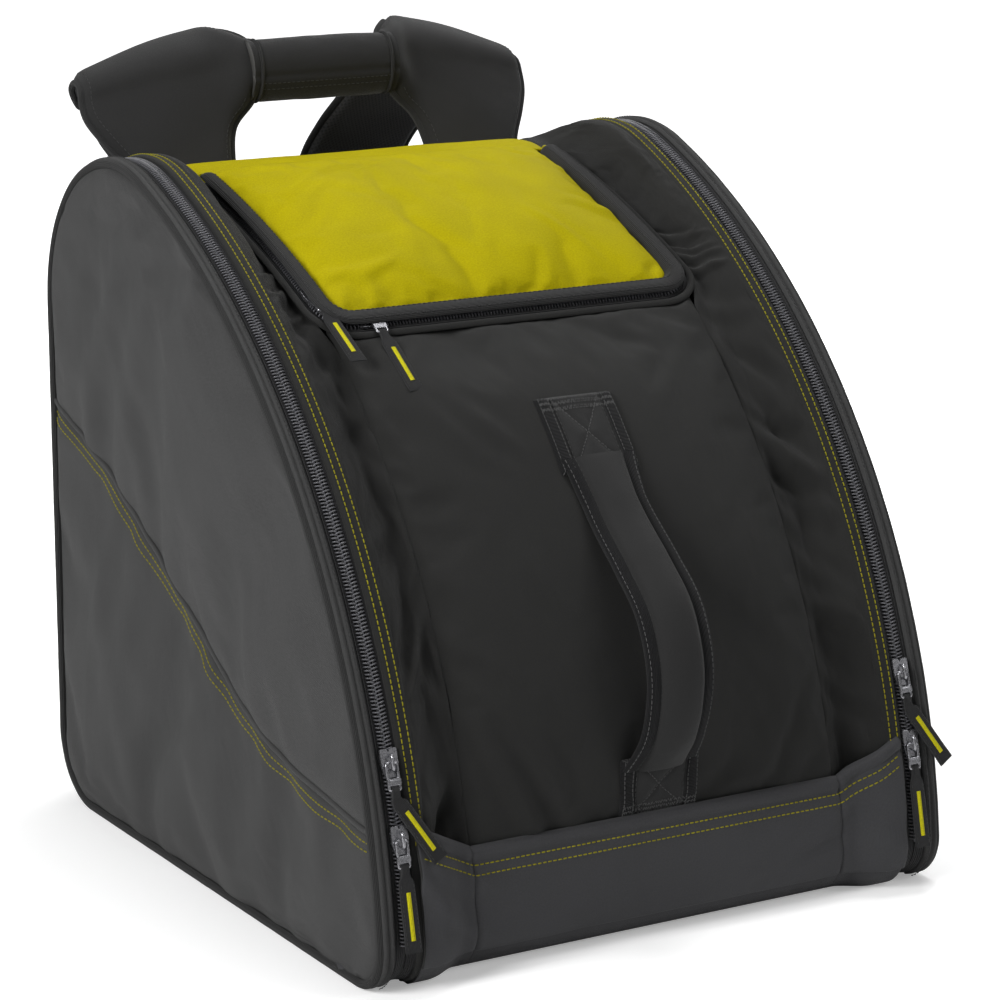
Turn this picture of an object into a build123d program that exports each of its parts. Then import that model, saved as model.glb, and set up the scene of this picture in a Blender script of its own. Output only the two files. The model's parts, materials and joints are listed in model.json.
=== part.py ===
from build123d import *
import os
from math import asin, atan2, cos, degrees, hypot, radians, sin, sqrt

# A soft ski boot backpack in millimetres. +X is the bag's right seen from the front, +Y points to the
# wearer's back and +Z is up. The origin is on the floor, below the middle of the bag's body.

# Driving dimensions of the body
HALF_WIDTH = 190.0
REAR_Y = 203.0
BODY_HEIGHT = 420.0
WALL = 3.0
SEAM_GAP = 0.4
FRONT_ARC_Y, FRONT_ARC_Z = 232.0, -12.0
TOP_ARC_R = 100.0
TOP_ARC_Y, TOP_ARC_Z = REAR_Y - TOP_ARC_R, BODY_HEIGHT - TOP_ARC_R
FRONT_ARC_R = hypot(FRONT_ARC_Y - TOP_ARC_Y, TOP_ARC_Z - FRONT_ARC_Z) + TOP_ARC_R
REAR_CORNER_R, TOE_CORNER_R = 45.0, 28.0

# The centre section is set back from the boot pockets and has a flatter top
CENTRE_SET_BACK = 10.0
LID_ARC_Y, LID_ARC_Z, LID_ARC_R = 311.0, -344.0, 770.5
TOP_REAR_CORNER_R = 60.0
CENTRE_HALF = 130.0
PANEL_HALF = 124.0
SHOULDER_X = 152.0
GUSSET_X = 163.3

# Base band: its top edge is level across the centre and climbs outwards over the gussets
BAND_CENTRE_Z, BAND_OUTER_Z = 72.0, 91.0
ZIP_END_Z = 28.0

# Doors: the outer wall of each boot pocket, hinged along its bottom piping
PIPING_R = 2.5
DOOR_OUTER_X, DOOR_INNER_X = 189.0, 185.0
RIM_OUTER_X, RIM_INNER_X = 184.8, 180.7
DOOR_SEAM = [(203, 257), (120, 226), (37, 179), (-15, 149), (-66, 120), (-115, 104), (-163, 97), (-226, 90)]

# Zip chain: two coil halves with a narrow gap between them, each on its tape
ZIP_X = 172.0
ZIP_INSET = 1.5
COIL_GAP, COIL_WIDTH, COIL_THICK = 0.5, 3.0, 2.4
TAPE_WIDTH, TAPE_THICK = 8.3, 0.8
LID_TAPE_WIDTH = 7.3

# Lid opening: the zip runs across the front arc at one angle and up both sides
LID_ZIP_X, LID_ZIP_ANGLE, LID_ZIP_CORNER_R = 121.5, 51.8, 16.0
LID_REAR_Y, REAR_STRIP_Y = 120.3, 121.2

# Zip pulls
SLIDER_LENGTH, SLIDER_WIDTH = 16.0, 10.4
PLATE_TOP, PLATE_UNDER, SLOT_HALF = 3.0, 1.6, 0.7
ARCH_INNER, ARCH_OUTER, ARCH_HALF_WIDTH = 3.2, 4.4, 1.3
BAR_R, BAR_W = 0.9, 4.1
PULLER_HALF, PULLER_LENGTH, PULLER_WINDOW = 4.2, 15.0, 2.4
TAB_LENGTH, TAB_WIDTH, TAB_THICK = 47.0, 10.0, 2.2
UPPER_SLIDER_ANGLE, LOWER_SLIDER_ANGLE = 17.9, 12.6
LID_SIDE_SLIDER_Y, LID_FRONT_SLIDER_X = -22.0, -96.0

# Carry handle
HANDLE_X, HANDLE_WIDTH, HANDLE_THICK = 0.0, 48.0, 7.0
HANDLE_TOP_Z, HANDLE_LOW_Z = 247.0, 107.0
HANDLE_SEWN, HANDLE_FREE = 13.5, 19.5
PATCH_TOP, PATCH_LOW = (249.0, 287.0), (73.0, 105.0)
PATCH_HALF, PATCH_THICK = 26.0, 2.5

# Harness: a yoke that folds at the top rear seam, straps that hang from it, and webbing links of the
# same length as the yoke, so that seam, fold, buckle and anchor make a parallelogram
SEAM_Y, SEAM_Z = 181.0, 393.0
FOLD_Y, FOLD_Z = 216.0, 472.0
ANCHOR_Y, ANCHOR_Z = 212.0, 46.0
BUCKLE_Y, BUCKLE_Z = ANCHOR_Y + FOLD_Y - SEAM_Y, ANCHOR_Z + FOLD_Z - SEAM_Z
YOKE_THICK, STRAP_THICK = 12.0, 11.0
ANCHOR_X = 118.0
WEBBING_WIDTH, WEBBING_THICK = 25.0, 1.8
GRAB_HALF, GRAB_R = 47.0, 16.0
GRAB_Y, GRAB_Z = 193.0, 457.0



def circle_meet(ya, za, ra, yb, zb, rb):
    """Front-most point where two circles in the side view cross."""
    gap = hypot(yb - ya, zb - za)
    along = (ra * ra - rb * rb + gap * gap) / (2 * gap)
    rise = sqrt(ra * ra - along * along)
    uy, uz = (yb - ya) / gap, (zb - za) / gap
    ends = [(ya + along * uy - s * rise * uz, za + along * uz + s * rise * uy) for s in (1, -1)]
    return min(ends)


def arc_between(centre, radius, start, end):
    """Arc about centre from start to end, the short way round."""
    a = degrees(atan2(start[1] - centre[1], start[0] - centre[0]))
    b = degrees(atan2(end[1] - centre[1], end[0] - centre[0]))
    sweep_angle = (b - a + 180) % 360 - 180
    return CenterArc(centre, radius, a, sweep_angle)


def round_floor_corners(face, inset):
    """Rounds the rear and toe corners where a side outline meets the floor."""
    low = face.vertices().sort_by(Axis.Y)[:2].sort_by(Axis.X)
    face = fillet(low[1], REAR_CORNER_R - inset)
    toe = face.vertices().sort_by(Axis.X)[0:3].sort_by(Axis.Y)[0]
    return fillet(toe, TOE_CORNER_R - inset)


def pocket_outline(inset):
    """Side outline of the boot pockets, inset from their outer surface."""
    rear, radius, top_r = REAR_Y - inset, FRONT_ARC_R - inset, TOP_ARC_R - inset
    centre, top_centre = (FRONT_ARC_Y, FRONT_ARC_Z), (TOP_ARC_Y, TOP_ARC_Z)
    toe = (FRONT_ARC_Y - sqrt(radius**2 - (inset - FRONT_ARC_Z) ** 2), inset)
    join_angle = atan2(TOP_ARC_Z - FRONT_ARC_Z, TOP_ARC_Y - FRONT_ARC_Y)
    join = (TOP_ARC_Y + top_r * cos(join_angle), TOP_ARC_Z + top_r * sin(join_angle))
    ridge_angle = atan2(ridge(0)[1] - FRONT_ARC_Z, ridge(0)[0] - FRONT_ARC_Y)
    split = (FRONT_ARC_Y + radius * cos(ridge_angle), FRONT_ARC_Z + radius * sin(ridge_angle))
    edges = [
        Line((rear, inset), toe),
        arc_between(centre, radius, toe, split),
        arc_between(centre, radius, split, join),
        arc_between(top_centre, top_r, join, (rear, TOP_ARC_Z)),
        Line((rear, TOP_ARC_Z), (rear, inset)),
    ]
    return round_floor_corners(make_face(edges), inset)


def ridge(inset):
    """Where the centre section's front arc meets its lid arc."""
    front_r = FRONT_ARC_R - CENTRE_SET_BACK - inset
    return circle_meet(FRONT_ARC_Y, FRONT_ARC_Z, front_r, LID_ARC_Y, LID_ARC_Z, LID_ARC_R - inset)


def centre_outline(inset):
    """Side outline of the centre section, inset from its outer surface."""
    rear, radius, lid_r = REAR_Y - inset, FRONT_ARC_R - CENTRE_SET_BACK - inset, LID_ARC_R - inset
    toe = (FRONT_ARC_Y - sqrt(radius**2 - (inset - FRONT_ARC_Z) ** 2), inset)
    corner_y = REAR_Y - TOP_REAR_CORNER_R
    corner_z = LID_ARC_Z + sqrt((LID_ARC_R - TOP_REAR_CORNER_R) ** 2 - (LID_ARC_Y - corner_y) ** 2)
    lift = atan2(corner_z - LID_ARC_Z, corner_y - LID_ARC_Y)
    lid_end = (LID_ARC_Y + lid_r * cos(lift), LID_ARC_Z + lid_r * sin(lift))
    edges = [
        Line((rear, inset), toe),
        arc_between((FRONT_ARC_Y, FRONT_ARC_Z), radius, toe, ridge(inset)),
        arc_between((LID_ARC_Y, LID_ARC_Z), lid_r, ridge(inset), lid_end),
        arc_between((corner_y, corner_z), TOP_REAR_CORNER_R - inset, lid_end, (rear, corner_z)),
        Line((rear, corner_z), (rear, inset)),
    ]
    return round_floor_corners(make_face(edges), inset)


def at_x(face, x):
    """A side-view face placed in the plane at x."""
    return Plane.YZ.offset(x) * face


def slab(face, x_from, x_to):
    """A side-view face extruded between two x positions."""
    return extrude(at_x(face, min(x_from, x_to)), abs(x_to - x_from))


def ring(outline, outer_inset, inner_inset, x_from, x_to):
    return slab(outline(outer_inset), x_from, x_to) - slab(outline(inner_inset), x_from, x_to)


def block(x, y, z):
    """Box from (low, high) pairs."""
    size = (x[1] - x[0], y[1] - y[0], z[1] - z[0])
    middle = ((x[0] + x[1]) / 2, (y[0] + y[1]) / 2, (z[0] + z[1]) / 2)
    return Pos(*middle) * Box(*size)


def mirrored(shape, side):
    """A shape built on the right (+X) side, or its mirror image on the left."""
    return shape if side > 0 else mirror(shape, about=Plane.YZ)


FAR = 600.0


def shoulder(side):
    """Gusset shell of one side: flat rim beside the zip, then a slope down to the centre section."""
    rim = ring(pocket_outline, 0, WALL, SHOULDER_X, GUSSET_X)
    solids = []
    for inset in (0, WALL):
        outlines = [at_x(centre_outline(inset), CENTRE_HALF), at_x(pocket_outline(inset), SHOULDER_X)]
        solids.append(loft(Sketch() + outlines, ruled=True))
    flat = ring(centre_outline, 0, WALL, PANEL_HALF + SEAM_GAP, CENTRE_HALF)
    return mirrored((rim + (solids[0] - solids[1]) + flat).clean(), side)


def band_region(lift):
    """Everything below the base band's top edge, raised by lift."""
    points = [
        (-FAR, BAND_OUTER_Z + lift),
        (-GUSSET_X, BAND_OUTER_Z + lift),
        (-PANEL_HALF, BAND_CENTRE_Z + lift),
        (PANEL_HALF, BAND_CENTRE_Z + lift),
        (GUSSET_X, BAND_OUTER_Z + lift),
        (FAR, BAND_OUTER_Z + lift),
        (FAR, -FAR),
        (-FAR, -FAR),
    ]
    return extrude(Plane.XZ * make_face(Polyline(points, close=True)), FAR, both=True)


def lid_plan(grow):
    """Everything inside the lid's zip line, grown outwards and cut square to the front slope."""
    half, reach = LID_ZIP_X + grow, 300.0
    plan = Pos(0, (reach - grow) / 2) * Rectangle(2 * half, reach + grow)
    plan = fillet(plan.vertices().group_by(Axis.Y)[0], LID_ZIP_CORNER_R + grow)
    a = radians(LID_ZIP_ANGLE)
    radius = FRONT_ARC_R - CENTRE_SET_BACK
    origin = (0, FRONT_ARC_Y - radius * cos(a), FRONT_ARC_Z + radius * sin(a))
    slope = Plane(origin=origin, x_dir=(1, 0, 0), z_dir=(0, -cos(a), sin(a)))
    return extrude(slope * plan, 400, both=True)


def make_shell_panels():
    """Base, front panel, rear strip, back panel and the two gussets, all cut from one sewn shell."""
    right, left = shoulder(1), shoulder(-1)
    centre = ring(centre_outline, 0, WALL, -PANEL_HALF, PANEL_HALF)
    below, above = band_region(-SEAM_GAP / 2), band_region(SEAM_GAP / 2)
    opening = lid_plan(LID_TAPE_WIDTH + COIL_GAP + SEAM_GAP) & block((-FAR, FAR), (-FAR, REAR_STRIP_Y), (200, FAR))
    whole = right + left + ring(centre_outline, 0, WALL, -PANEL_HALF - 1, PANEL_HALF + 1)
    toe = ring(pocket_outline, 0, WALL, GUSSET_X, RIM_OUTER_X - 0.2)
    toe = toe & block((-FAR, FAR), (-FAR, FAR), (-1, ZIP_END_Z))
    base = (whole & below) + toe + mirrored(toe, -1)
    upper = centre - above
    corner_z = centre_top_corner()[1]
    front = (upper & block((-FAR, FAR), (-FAR, 0), (-FAR, FAR))) - opening
    rear = upper & block((-FAR, FAR), (0, FAR), (-FAR, FAR))
    strip = (rear & block((-FAR, FAR), (0, FAR), (corner_z + SEAM_GAP, FAR))) - opening
    back = rear & block((-FAR, FAR), (0, FAR), (-FAR, corner_z))
    return {
        "base_tray": base,
        "front_panel": front,
        "rear_top_panel": strip,
        "back_panel": back,
        "left_gusset": left - above - opening,
        "right_gusset": right - above - opening,
    }


def centre_top_corner():
    """Centre of the rounded top rear corner of the centre section."""
    y = REAR_Y - TOP_REAR_CORNER_R
    return y, LID_ARC_Z + sqrt((LID_ARC_R - TOP_REAR_CORNER_R) ** 2 - (LID_ARC_Y - y) ** 2)


def make_inner_layers():
    """Sheets inside the back panel and on the floor, and the padded pocket dividers."""
    inside = WALL + SEAM_GAP
    layers = {}
    rear = REAR_Y - inside
    width, height = 148.0, (64.0, 306.0)
    for name, thickness in (("back_foam", 9.0), ("back_board", 2.0), ("back_lining", 1.2)):
        layers[name] = block((-width, width), (rear - thickness, rear), height)
        layers[name] = fillet(layers[name].edges().filter_by(Axis.Y), 18)
        rear -= thickness + SEAM_GAP
    floor = inside
    board = block((-160, 160), (-185, 155), (floor, floor + 2.0))
    layers["base_board"] = fillet(board.edges().filter_by(Axis.Z), 12)
    points = [(113, 410), (84, 330), (80, floor + 2.4), (75, floor + 2.4), (79, 331), (108, 412)]
    section = Plane.XZ * make_face(Polyline(points, close=True))
    divider = extrude(section, FAR, both=True) & slab(centre_outline(inside + 3), 0, CENTRE_HALF)
    divider = divider & block((0, FAR), (-FAR, rear), (floor + 2.4, FAR))
    for name, side in (("left", -1), ("right", 1)):
        layers[name + "_divider"] = mirrored(divider, side)
    return layers


def zip_half(outline, x_coil, x_tape):
    """One coil half and its tape, following a side outline between two x positions."""
    coil = ring(outline, ZIP_INSET - COIL_THICK / 2, ZIP_INSET + COIL_THICK / 2, *x_coil)
    tape = ring(outline, ZIP_INSET - TAPE_THICK / 2, ZIP_INSET + TAPE_THICK / 2, *x_tape)
    return coil + tape


def parked_sector():
    """Wedge of the side view, seen from the front arc's centre, that holds both parked sliders."""
    low, high = radians(LOWER_SLIDER_ANGLE - 1.6), radians(UPPER_SLIDER_ANGLE + 1.6)
    centre = (FRONT_ARC_Y, FRONT_ARC_Z)
    tips = [(centre[0] - FAR * cos(a), centre[1] + FAR * sin(a)) for a in (low, high)]
    return slab(make_face(Polyline([centre, *tips], close=True)), 0, FAR)


def make_door(side):
    """Outer wall of one boot pocket: two fabric panels, piping, rim and its half of the zip."""
    name = "right" if side > 0 else "left"
    panel = slab(pocket_outline(2 * PIPING_R + 0.3), DOOR_INNER_X, DOOR_OUTER_X)
    seam = Spline(*DOOR_SEAM)
    under = make_face([seam, Polyline([DOOR_SEAM[-1], (-226, -10), (203, -10), DOOR_SEAM[0]])])
    lower_region = slab(under, DOOR_INNER_X - 1, DOOR_OUTER_X + 1)
    path = at_x(pocket_outline(PIPING_R), HALF_WIDTH - PIPING_R).wire()
    start = path @ 0
    piping = sweep(Plane(origin=start, z_dir=path % 0) * Circle(PIPING_R), path=path)
    above_end = block((-FAR, FAR), (-FAR, FAR), (ZIP_END_Z, FAR))
    rim = ring(pocket_outline, 0, WALL, RIM_INNER_X, RIM_OUTER_X) & above_end
    coil_x = (ZIP_X + COIL_GAP, ZIP_X + COIL_GAP + COIL_WIDTH)
    chain = zip_half(pocket_outline, coil_x, (ZIP_X + COIL_GAP, ZIP_X + TAPE_WIDTH))
    chain = (chain & above_end) - parked_sector()
    solids = {
        "side_upper": panel - lower_region,
        "side_lower": panel & lower_region,
        "piping": piping,
        "door_rim": rim,
        "door_zip_half": chain,
    }
    return {f"{name}_{key}": mirrored(solid, side) for key, solid in solids.items()}


def make_body_zip(side):
    """The zip half that stays on the gusset."""
    coil_x = (ZIP_X - COIL_GAP - COIL_WIDTH, ZIP_X - COIL_GAP)
    chain = zip_half(pocket_outline, coil_x, (ZIP_X - TAPE_WIDTH, ZIP_X - COIL_GAP))
    return mirrored(chain & block((-FAR, FAR), (-FAR, FAR), (ZIP_END_Z, FAR)), side)


def lid_strip(grow_from, grow_to, inset_from, inset_to, rear_y):
    """A strip of the centre section's top that runs round the lid, between two grown plans."""
    layer = ring(centre_outline, inset_from, inset_to, -CENTRE_HALF, CENTRE_HALF)
    strip = layer & (lid_plan(grow_to) - lid_plan(grow_from))
    return strip & block((-FAR, FAR), (-FAR, rear_y), (250, FAR))


def make_lid():
    """Lid panel, its zip in two halves, and the folded tabs that close the zip's rear ends."""
    panel = ring(centre_outline, 0, WALL, -CENTRE_HALF, CENTRE_HALF) & lid_plan(-LID_TAPE_WIDTH - SEAM_GAP)
    panel = panel & block((-FAR, FAR), (-FAR, LID_REAR_Y), (250, FAR))
    coil = (ZIP_INSET - COIL_THICK / 2, ZIP_INSET + COIL_THICK / 2)
    tape = (ZIP_INSET - TAPE_THICK / 2, ZIP_INSET + TAPE_THICK / 2)
    coil_edge = COIL_GAP + COIL_WIDTH
    rear = LID_REAR_Y - 6
    lid_half = lid_strip(-coil_edge, -COIL_GAP, *coil, rear) + lid_strip(-LID_TAPE_WIDTH, -COIL_GAP, *tape, rear)
    body_half = lid_strip(COIL_GAP, coil_edge, *coil, rear) + lid_strip(COIL_GAP, LID_TAPE_WIDTH, *tape, rear)
    side_y, front_x = LID_SIDE_SLIDER_Y, LID_FRONT_SLIDER_X
    parked = block((-FAR, -LID_ZIP_X + 20), (side_y - 11, side_y + 11), (250, FAR))
    parked += block((front_x - 11, front_x + 11), (-FAR, -20), (250, FAR))
    tabs = Part()
    for x in (-LID_ZIP_X, LID_ZIP_X):
        top = LID_ARC_Z + sqrt(LID_ARC_R**2 - (LID_ARC_Y - LID_REAR_Y) ** 2)
        tabs += block((x - 7, x + 7), (rear + 0.5, REAR_STRIP_Y - 0.5), (top - 2.6, top + 1.2))
    return {
        "lid_panel": panel,
        "lid_zip_lid_half": lid_half - parked,
        "lid_zip_body_half": body_half,
        "lid_zip_end_tabs": tabs,
    }


def front_arc_frame(x, angle, radius):
    """Frame on the front arc: local x points down the arc, local z points outwards."""
    a = radians(angle)
    origin = (x, FRONT_ARC_Y - radius * cos(a), FRONT_ARC_Z + radius * sin(a))
    return Plane(origin=origin, x_dir=(0, -sin(a), -cos(a)), z_dir=(0, -cos(a), sin(a)))


def lid_side_frame():
    """Frame of the slider that is parked at the foot of the lid's left side."""
    radius = LID_ARC_R - ZIP_INSET
    rise = sqrt(radius**2 - (LID_ARC_Y - LID_SIDE_SLIDER_Y) ** 2)
    c, s = (LID_ARC_Y - LID_SIDE_SLIDER_Y) / radius, rise / radius
    origin = (-LID_ZIP_X, LID_SIDE_SLIDER_Y, LID_ARC_Z + rise)
    return Plane(origin=origin, x_dir=(0, -s, -c), z_dir=(0, -c, s))


def lid_front_frame():
    """Frame of the slider on the lid's front edge: local x points down the slope."""
    return front_arc_frame(LID_FRONT_SLIDER_X, LID_ZIP_ANGLE, FRONT_ARC_R - CENTRE_SET_BACK - ZIP_INSET)


def make_slider(across):
    """Slider body about the chain's centre. It runs along local x, or along local y when across."""
    half_l, half_w = SLIDER_LENGTH / 2, SLIDER_WIDTH / 2
    plates = Part()
    for low, high in ((PLATE_UNDER, PLATE_TOP), (-PLATE_TOP, -PLATE_UNDER)):
        plate = block((-half_l, half_l), (-half_w, half_w), (low, high))
        plates += fillet(plate.edges().filter_by(Axis.Z), 3)
    for edge in (-1, 1):
        y = sorted((edge * (half_w - 1.2), edge * half_w))
        plates += block((-half_l + 3, half_l - 3), y, (SLOT_HALF, PLATE_UNDER))
        plates += block((-half_l + 3, half_l - 3), y, (-PLATE_UNDER, -SLOT_HALF))
    post = block((-half_l + 1, -half_l + 5), (-0.3, 0.3), (-PLATE_UNDER, PLATE_UNDER))
    arch_y = (-ARCH_HALF_WIDTH, ARCH_HALF_WIDTH)
    arch = block((-ARCH_OUTER, ARCH_OUTER), arch_y, (PLATE_TOP, 6.6))
    arch = fillet(arch.edges().filter_by(Axis.Y).group_by(Axis.Z)[-1], 1.5)
    arch -= block((-ARCH_INNER, ARCH_INNER), (-2, 2), (PLATE_TOP, 5.4))
    body = plates + post + arch
    return Rot(0, 0, 90) * body if across else body


def make_puller():
    """Flat metal pull about its pivot bar at the origin, lying along local x."""
    thick = 0.8
    plate = block((0, PULLER_LENGTH), (-PULLER_HALF, PULLER_HALF), (-thick, thick))
    plate -= block((0, 8.5), (-PULLER_WINDOW, PULLER_WINDOW), (-thick, thick))
    plate -= block((11, PULLER_LENGTH), (-2.6, 2.6), (-thick, thick))
    for x in (0, PULLER_LENGTH):
        plate += Pos(x, 0, 0) * Rot(90, 0, 0) * Cylinder(BAR_R, 2 * PULLER_HALF)
    return plate


def make_tab():
    """Webbing pull tab about the puller's lower bar at the origin, hanging along local x."""
    loop = Rot(90, 0, 0) * Cylinder(2.2, 4.4)
    neck = block((0, 6), (-2.2, 2.2), (-TAB_THICK / 2, TAB_THICK / 2))
    strip = block((5, TAB_LENGTH), (-TAB_WIDTH / 2, TAB_WIDTH / 2), (-TAB_THICK / 2, TAB_THICK / 2))
    strip = fillet(strip.edges().filter_by(Axis.Z), 1.5)
    return loop + neck + strip - Rot(90, 0, 0) * Cylinder(BAR_R + 0.3, 10)


def turned(frame, angle):
    """Frame turned about its own y axis: a positive angle swings local x outwards."""
    return frame * Rot(0, -angle, 0)


def zip_pulls():
    """Each pull's frame, whether its slider runs across, and its puller angle, tab angle and tab yaw."""
    radius = FRONT_ARC_R - ZIP_INSET
    pulls = {}
    for side, x in (("left", -ZIP_X), ("right", ZIP_X)):
        upper = front_arc_frame(x, UPPER_SLIDER_ANGLE, radius)
        lower = front_arc_frame(x, LOWER_SLIDER_ANGLE, radius)
        pulls[side + "_upper"] = (upper, False, 0.0, 0.0, 30.0)
        pulls[side + "_lower"] = (lower, False, 0.0, 0.0, 0.0)
    pulls["lid_side"] = (lid_side_frame(), False, 0.0, -5.0, 0.0)
    pulls["lid_front"] = (lid_front_frame(), True, 0.0, 0.0, 8.0)
    return pulls


def pivot_frames(pull):
    """Frames of a pull's two bars: the one under the slider's arch and the one that holds the tab.

    On a slider that runs across, a side rail of the puller lies under the arch instead of its bar,
    and the puller hangs from the arch's right-hand leg.
    """
    frame, across, puller_angle, tab_angle, _ = pull
    leg = (ARCH_INNER + ARCH_OUTER) / 2
    shift = Pos(-leg, (PULLER_HALF + PULLER_WINDOW) / 2, BAR_W) if across else Pos(0, 0, BAR_W)
    bar = turned(frame * shift, puller_angle)
    tab = turned(bar * Pos(PULLER_LENGTH, 0, 0), tab_angle)
    return bar, tab


def make_zip_pulls():
    parts = {}
    for name, pull in zip_pulls().items():
        frame, across = pull[0], pull[1]
        bar, tab = pivot_frames((Location(frame), *pull[1:]))
        parts[name + "_slider"] = Location(frame) * make_slider(across)
        parts[name + "_puller"] = bar * make_puller()
        swing = Pos(5, 0, 0) * Rot(0, 0, pull[4]) * Pos(-5, 0, 0)
        strap = make_tab()
        hinge_end = strap & block((-5, 5), (-5, 5), (-5, 5))
        hanging = swing * (strap & block((4.2, FAR), (-20, 20), (-5, 5)))
        parts[name + "_tab"] = tab * (hinge_end + hanging if pull[4] else strap)
    return parts


def front_point(z, lift=0.0):
    """Point (y, z) on the centre section's front arc at height z, moved out by lift."""
    radius = FRONT_ARC_R - CENTRE_SET_BACK
    angle = asin((z - FRONT_ARC_Z) / radius)
    reach = radius + lift
    return FRONT_ARC_Y - reach * cos(angle), FRONT_ARC_Z + reach * sin(angle)


def handle_line():
    """Side view of the carry handle: it bows out from the front and sags towards its lower end."""
    top, low = front_point(HANDLE_TOP_Z, 5), front_point(HANDLE_LOW_Z, 5)
    return [top, (-176, 229), (-210, 196), (-230, 156), (-229, 129), low]


def make_carry_handle():
    strip = Plane.YZ.offset(HANDLE_X) * trace(Spline(*handle_line()), HANDLE_THICK)
    band = extrude(strip, HANDLE_WIDTH / 2, both=True)
    handle = band - slab(centre_outline(-HANDLE_FREE), -FAR, FAR)
    patches = band & slab(centre_outline(-HANDLE_SEWN), -FAR, FAR)
    for z_from, z_to in (PATCH_TOP, PATCH_LOW):
        outer = slab(centre_outline(-PATCH_THICK - SEAM_GAP), HANDLE_X - PATCH_HALF, HANDLE_X + PATCH_HALF)
        inner = slab(centre_outline(-SEAM_GAP), HANDLE_X - PATCH_HALF, HANDLE_X + PATCH_HALF)
        patches += (outer - inner) & block((-FAR, FAR), (-FAR, 0), (z_from, z_to))
    return {"carry_handle": handle, "handle_patches": patches}


def side_band(points, thickness):
    """A padded band that follows a side-view curve, wide in x."""
    return extrude(Plane.YZ * trace(Spline(*points), thickness), FAR / 2, both=True)


def front_region(points):
    """A front-view outline extruded right through the bag."""
    return extrude(Plane.XZ * make_face(points), FAR, both=True)


def make_yoke():
    """Two padded wings that stand on the top rear seam, joined by the grab handle."""
    lean = (FOLD_Y - SEAM_Y) / (FOLD_Z - SEAM_Z)
    low, high = SEAM_Z + 4, SEAM_Z + 95
    ends = [(SEAM_Y + lean * (z - SEAM_Z) - 3, z) for z in (low, high)]
    sheet = extrude(Plane.YZ * trace(Line(*ends), YOKE_THICK), FAR / 2, both=True)
    outer_edge = Spline((128, low - 9), (134, 415), (157, 437), (156, 457))
    inner_edge = Spline((GRAB_HALF + 2, 437), (66, 424), (71, 405), (71, low - 9))
    crest = [Line((156, 457), (76, 487)), Line((76, 487), (GRAB_HALF + 2, 478))]
    closing = [Line((GRAB_HALF + 2, 478), (GRAB_HALF + 2, 437)), Line((71, low - 9), (128, low - 9))]
    wing = sheet & front_region([outer_edge, *crest, closing[0], inner_edge, closing[1]])
    grab = Pos(0, GRAB_Y, GRAB_Z) * Rot(0, 90, 0) * Cylinder(GRAB_R, 2 * GRAB_HALF)
    return {
        "left_yoke_wing": mirrored(wing, -1),
        "right_yoke_wing": wing,
        "grab_handle": grab,
    }


def make_strap(side):
    """Shoulder pad, ladder lock buckle, webbing link and webbing tail of one side."""
    name = "right" if side > 0 else "left"
    line = [(FOLD_Y + 8.5, FOLD_Z - 6.5), (250, 448), (272, 408), (280, 350), (274, 270), (261, 190)]
    line.append((BUCKLE_Y, BUCKLE_Z + 16))
    outer = Spline((156, 480), (132, 430), (104, 385), (98, 330), (110, 250), (131, 180), (136, 130))
    inner = Spline((100, 130), (66, 180), (37, 250), (25, 330), (28, 385), (52, 430), (72, 480))
    ends = [Line((136, 130), (100, 130)), Line((72, 480), (156, 480))]
    pad = side_band(line, STRAP_THICK) & front_region([outer, ends[0], inner, ends[1]])
    pivot = Location((ANCHOR_X, BUCKLE_Y, BUCKLE_Z))
    frame = block((-17, 17), (-2, 2), (-3, 14)) - block((-13.2, 13.2), (-3, 3), (-4, 4.5))
    frame -= block((-13.2, 13.2), (-3, 3), (7, 11))
    bar = Rot(0, 90, 0) * Cylinder(1.6, 30)
    tail = block((-WEBBING_WIDTH / 2, WEBBING_WIDTH / 2), (5, 5 + WEBBING_THICK), (-66, 10))
    reach = hypot(BUCKLE_Y - ANCHOR_Y, BUCKLE_Z - ANCHOR_Z)
    aim = degrees(atan2(BUCKLE_Y - ANCHOR_Y, BUCKLE_Z - ANCHOR_Z))
    loop = Rot(0, 90, 0) * (Cylinder(1.9 + WEBBING_THICK, WEBBING_WIDTH) - Cylinder(1.9, WEBBING_WIDTH))
    half = WEBBING_WIDTH / 2
    strip = block((-half, half), (-WEBBING_THICK / 2, WEBBING_THICK / 2), (2.5, reach - 2.5))
    strip -= Pos(0, 0, reach) * Rot(0, 90, 0) * Cylinder(1.9, 2 * WEBBING_WIDTH)
    webbing = strip + Pos(0, 0, reach) * loop
    webbing = Location((ANCHOR_X, ANCHOR_Y, ANCHOR_Z)) * Rot(-aim, 0, 0) * webbing
    solids = {
        "shoulder_pad": pad,
        "ladder_lock": pivot * (frame + bar),
        "webbing_tail": pivot * tail,
        "webbing_link": webbing,
    }
    return {f"{name}_{key}": mirrored(solid, side) for key, solid in solids.items()}


def make_strap_anchors():
    """Triangular tabs sewn to the back near the floor, one for each webbing link."""
    anchors = Part()
    for x in (-ANCHOR_X, ANCHOR_X):
        points = [(x - 13, ANCHOR_Z - 3), (x + 13, ANCHOR_Z - 3), (x + 24, ANCHOR_Z - 26), (x - 24, ANCHOR_Z - 26)]
        outline = make_face(Polyline([*points, points[0]]))
        anchors += extrude(Plane.XZ.offset(-REAR_Y - 3.0) * outline, 2.6)
    return anchors


def main():
    parts = make_shell_panels()
    parts.update(make_inner_layers())
    for side in (-1, 1):
        parts.update(make_door(side))
        parts.update(make_strap(side))
    parts["left_body_zip_half"] = make_body_zip(-1)
    parts["right_body_zip_half"] = make_body_zip(1)
    parts.update(make_lid())
    parts.update(make_zip_pulls())
    parts.update(make_carry_handle())
    parts.update(make_yoke())
    parts["strap_anchors"] = make_strap_anchors()
    os.makedirs("parts", exist_ok=True)
    for name, shape in parts.items():
        export_step(shape, f"parts/{name}.step")


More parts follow.
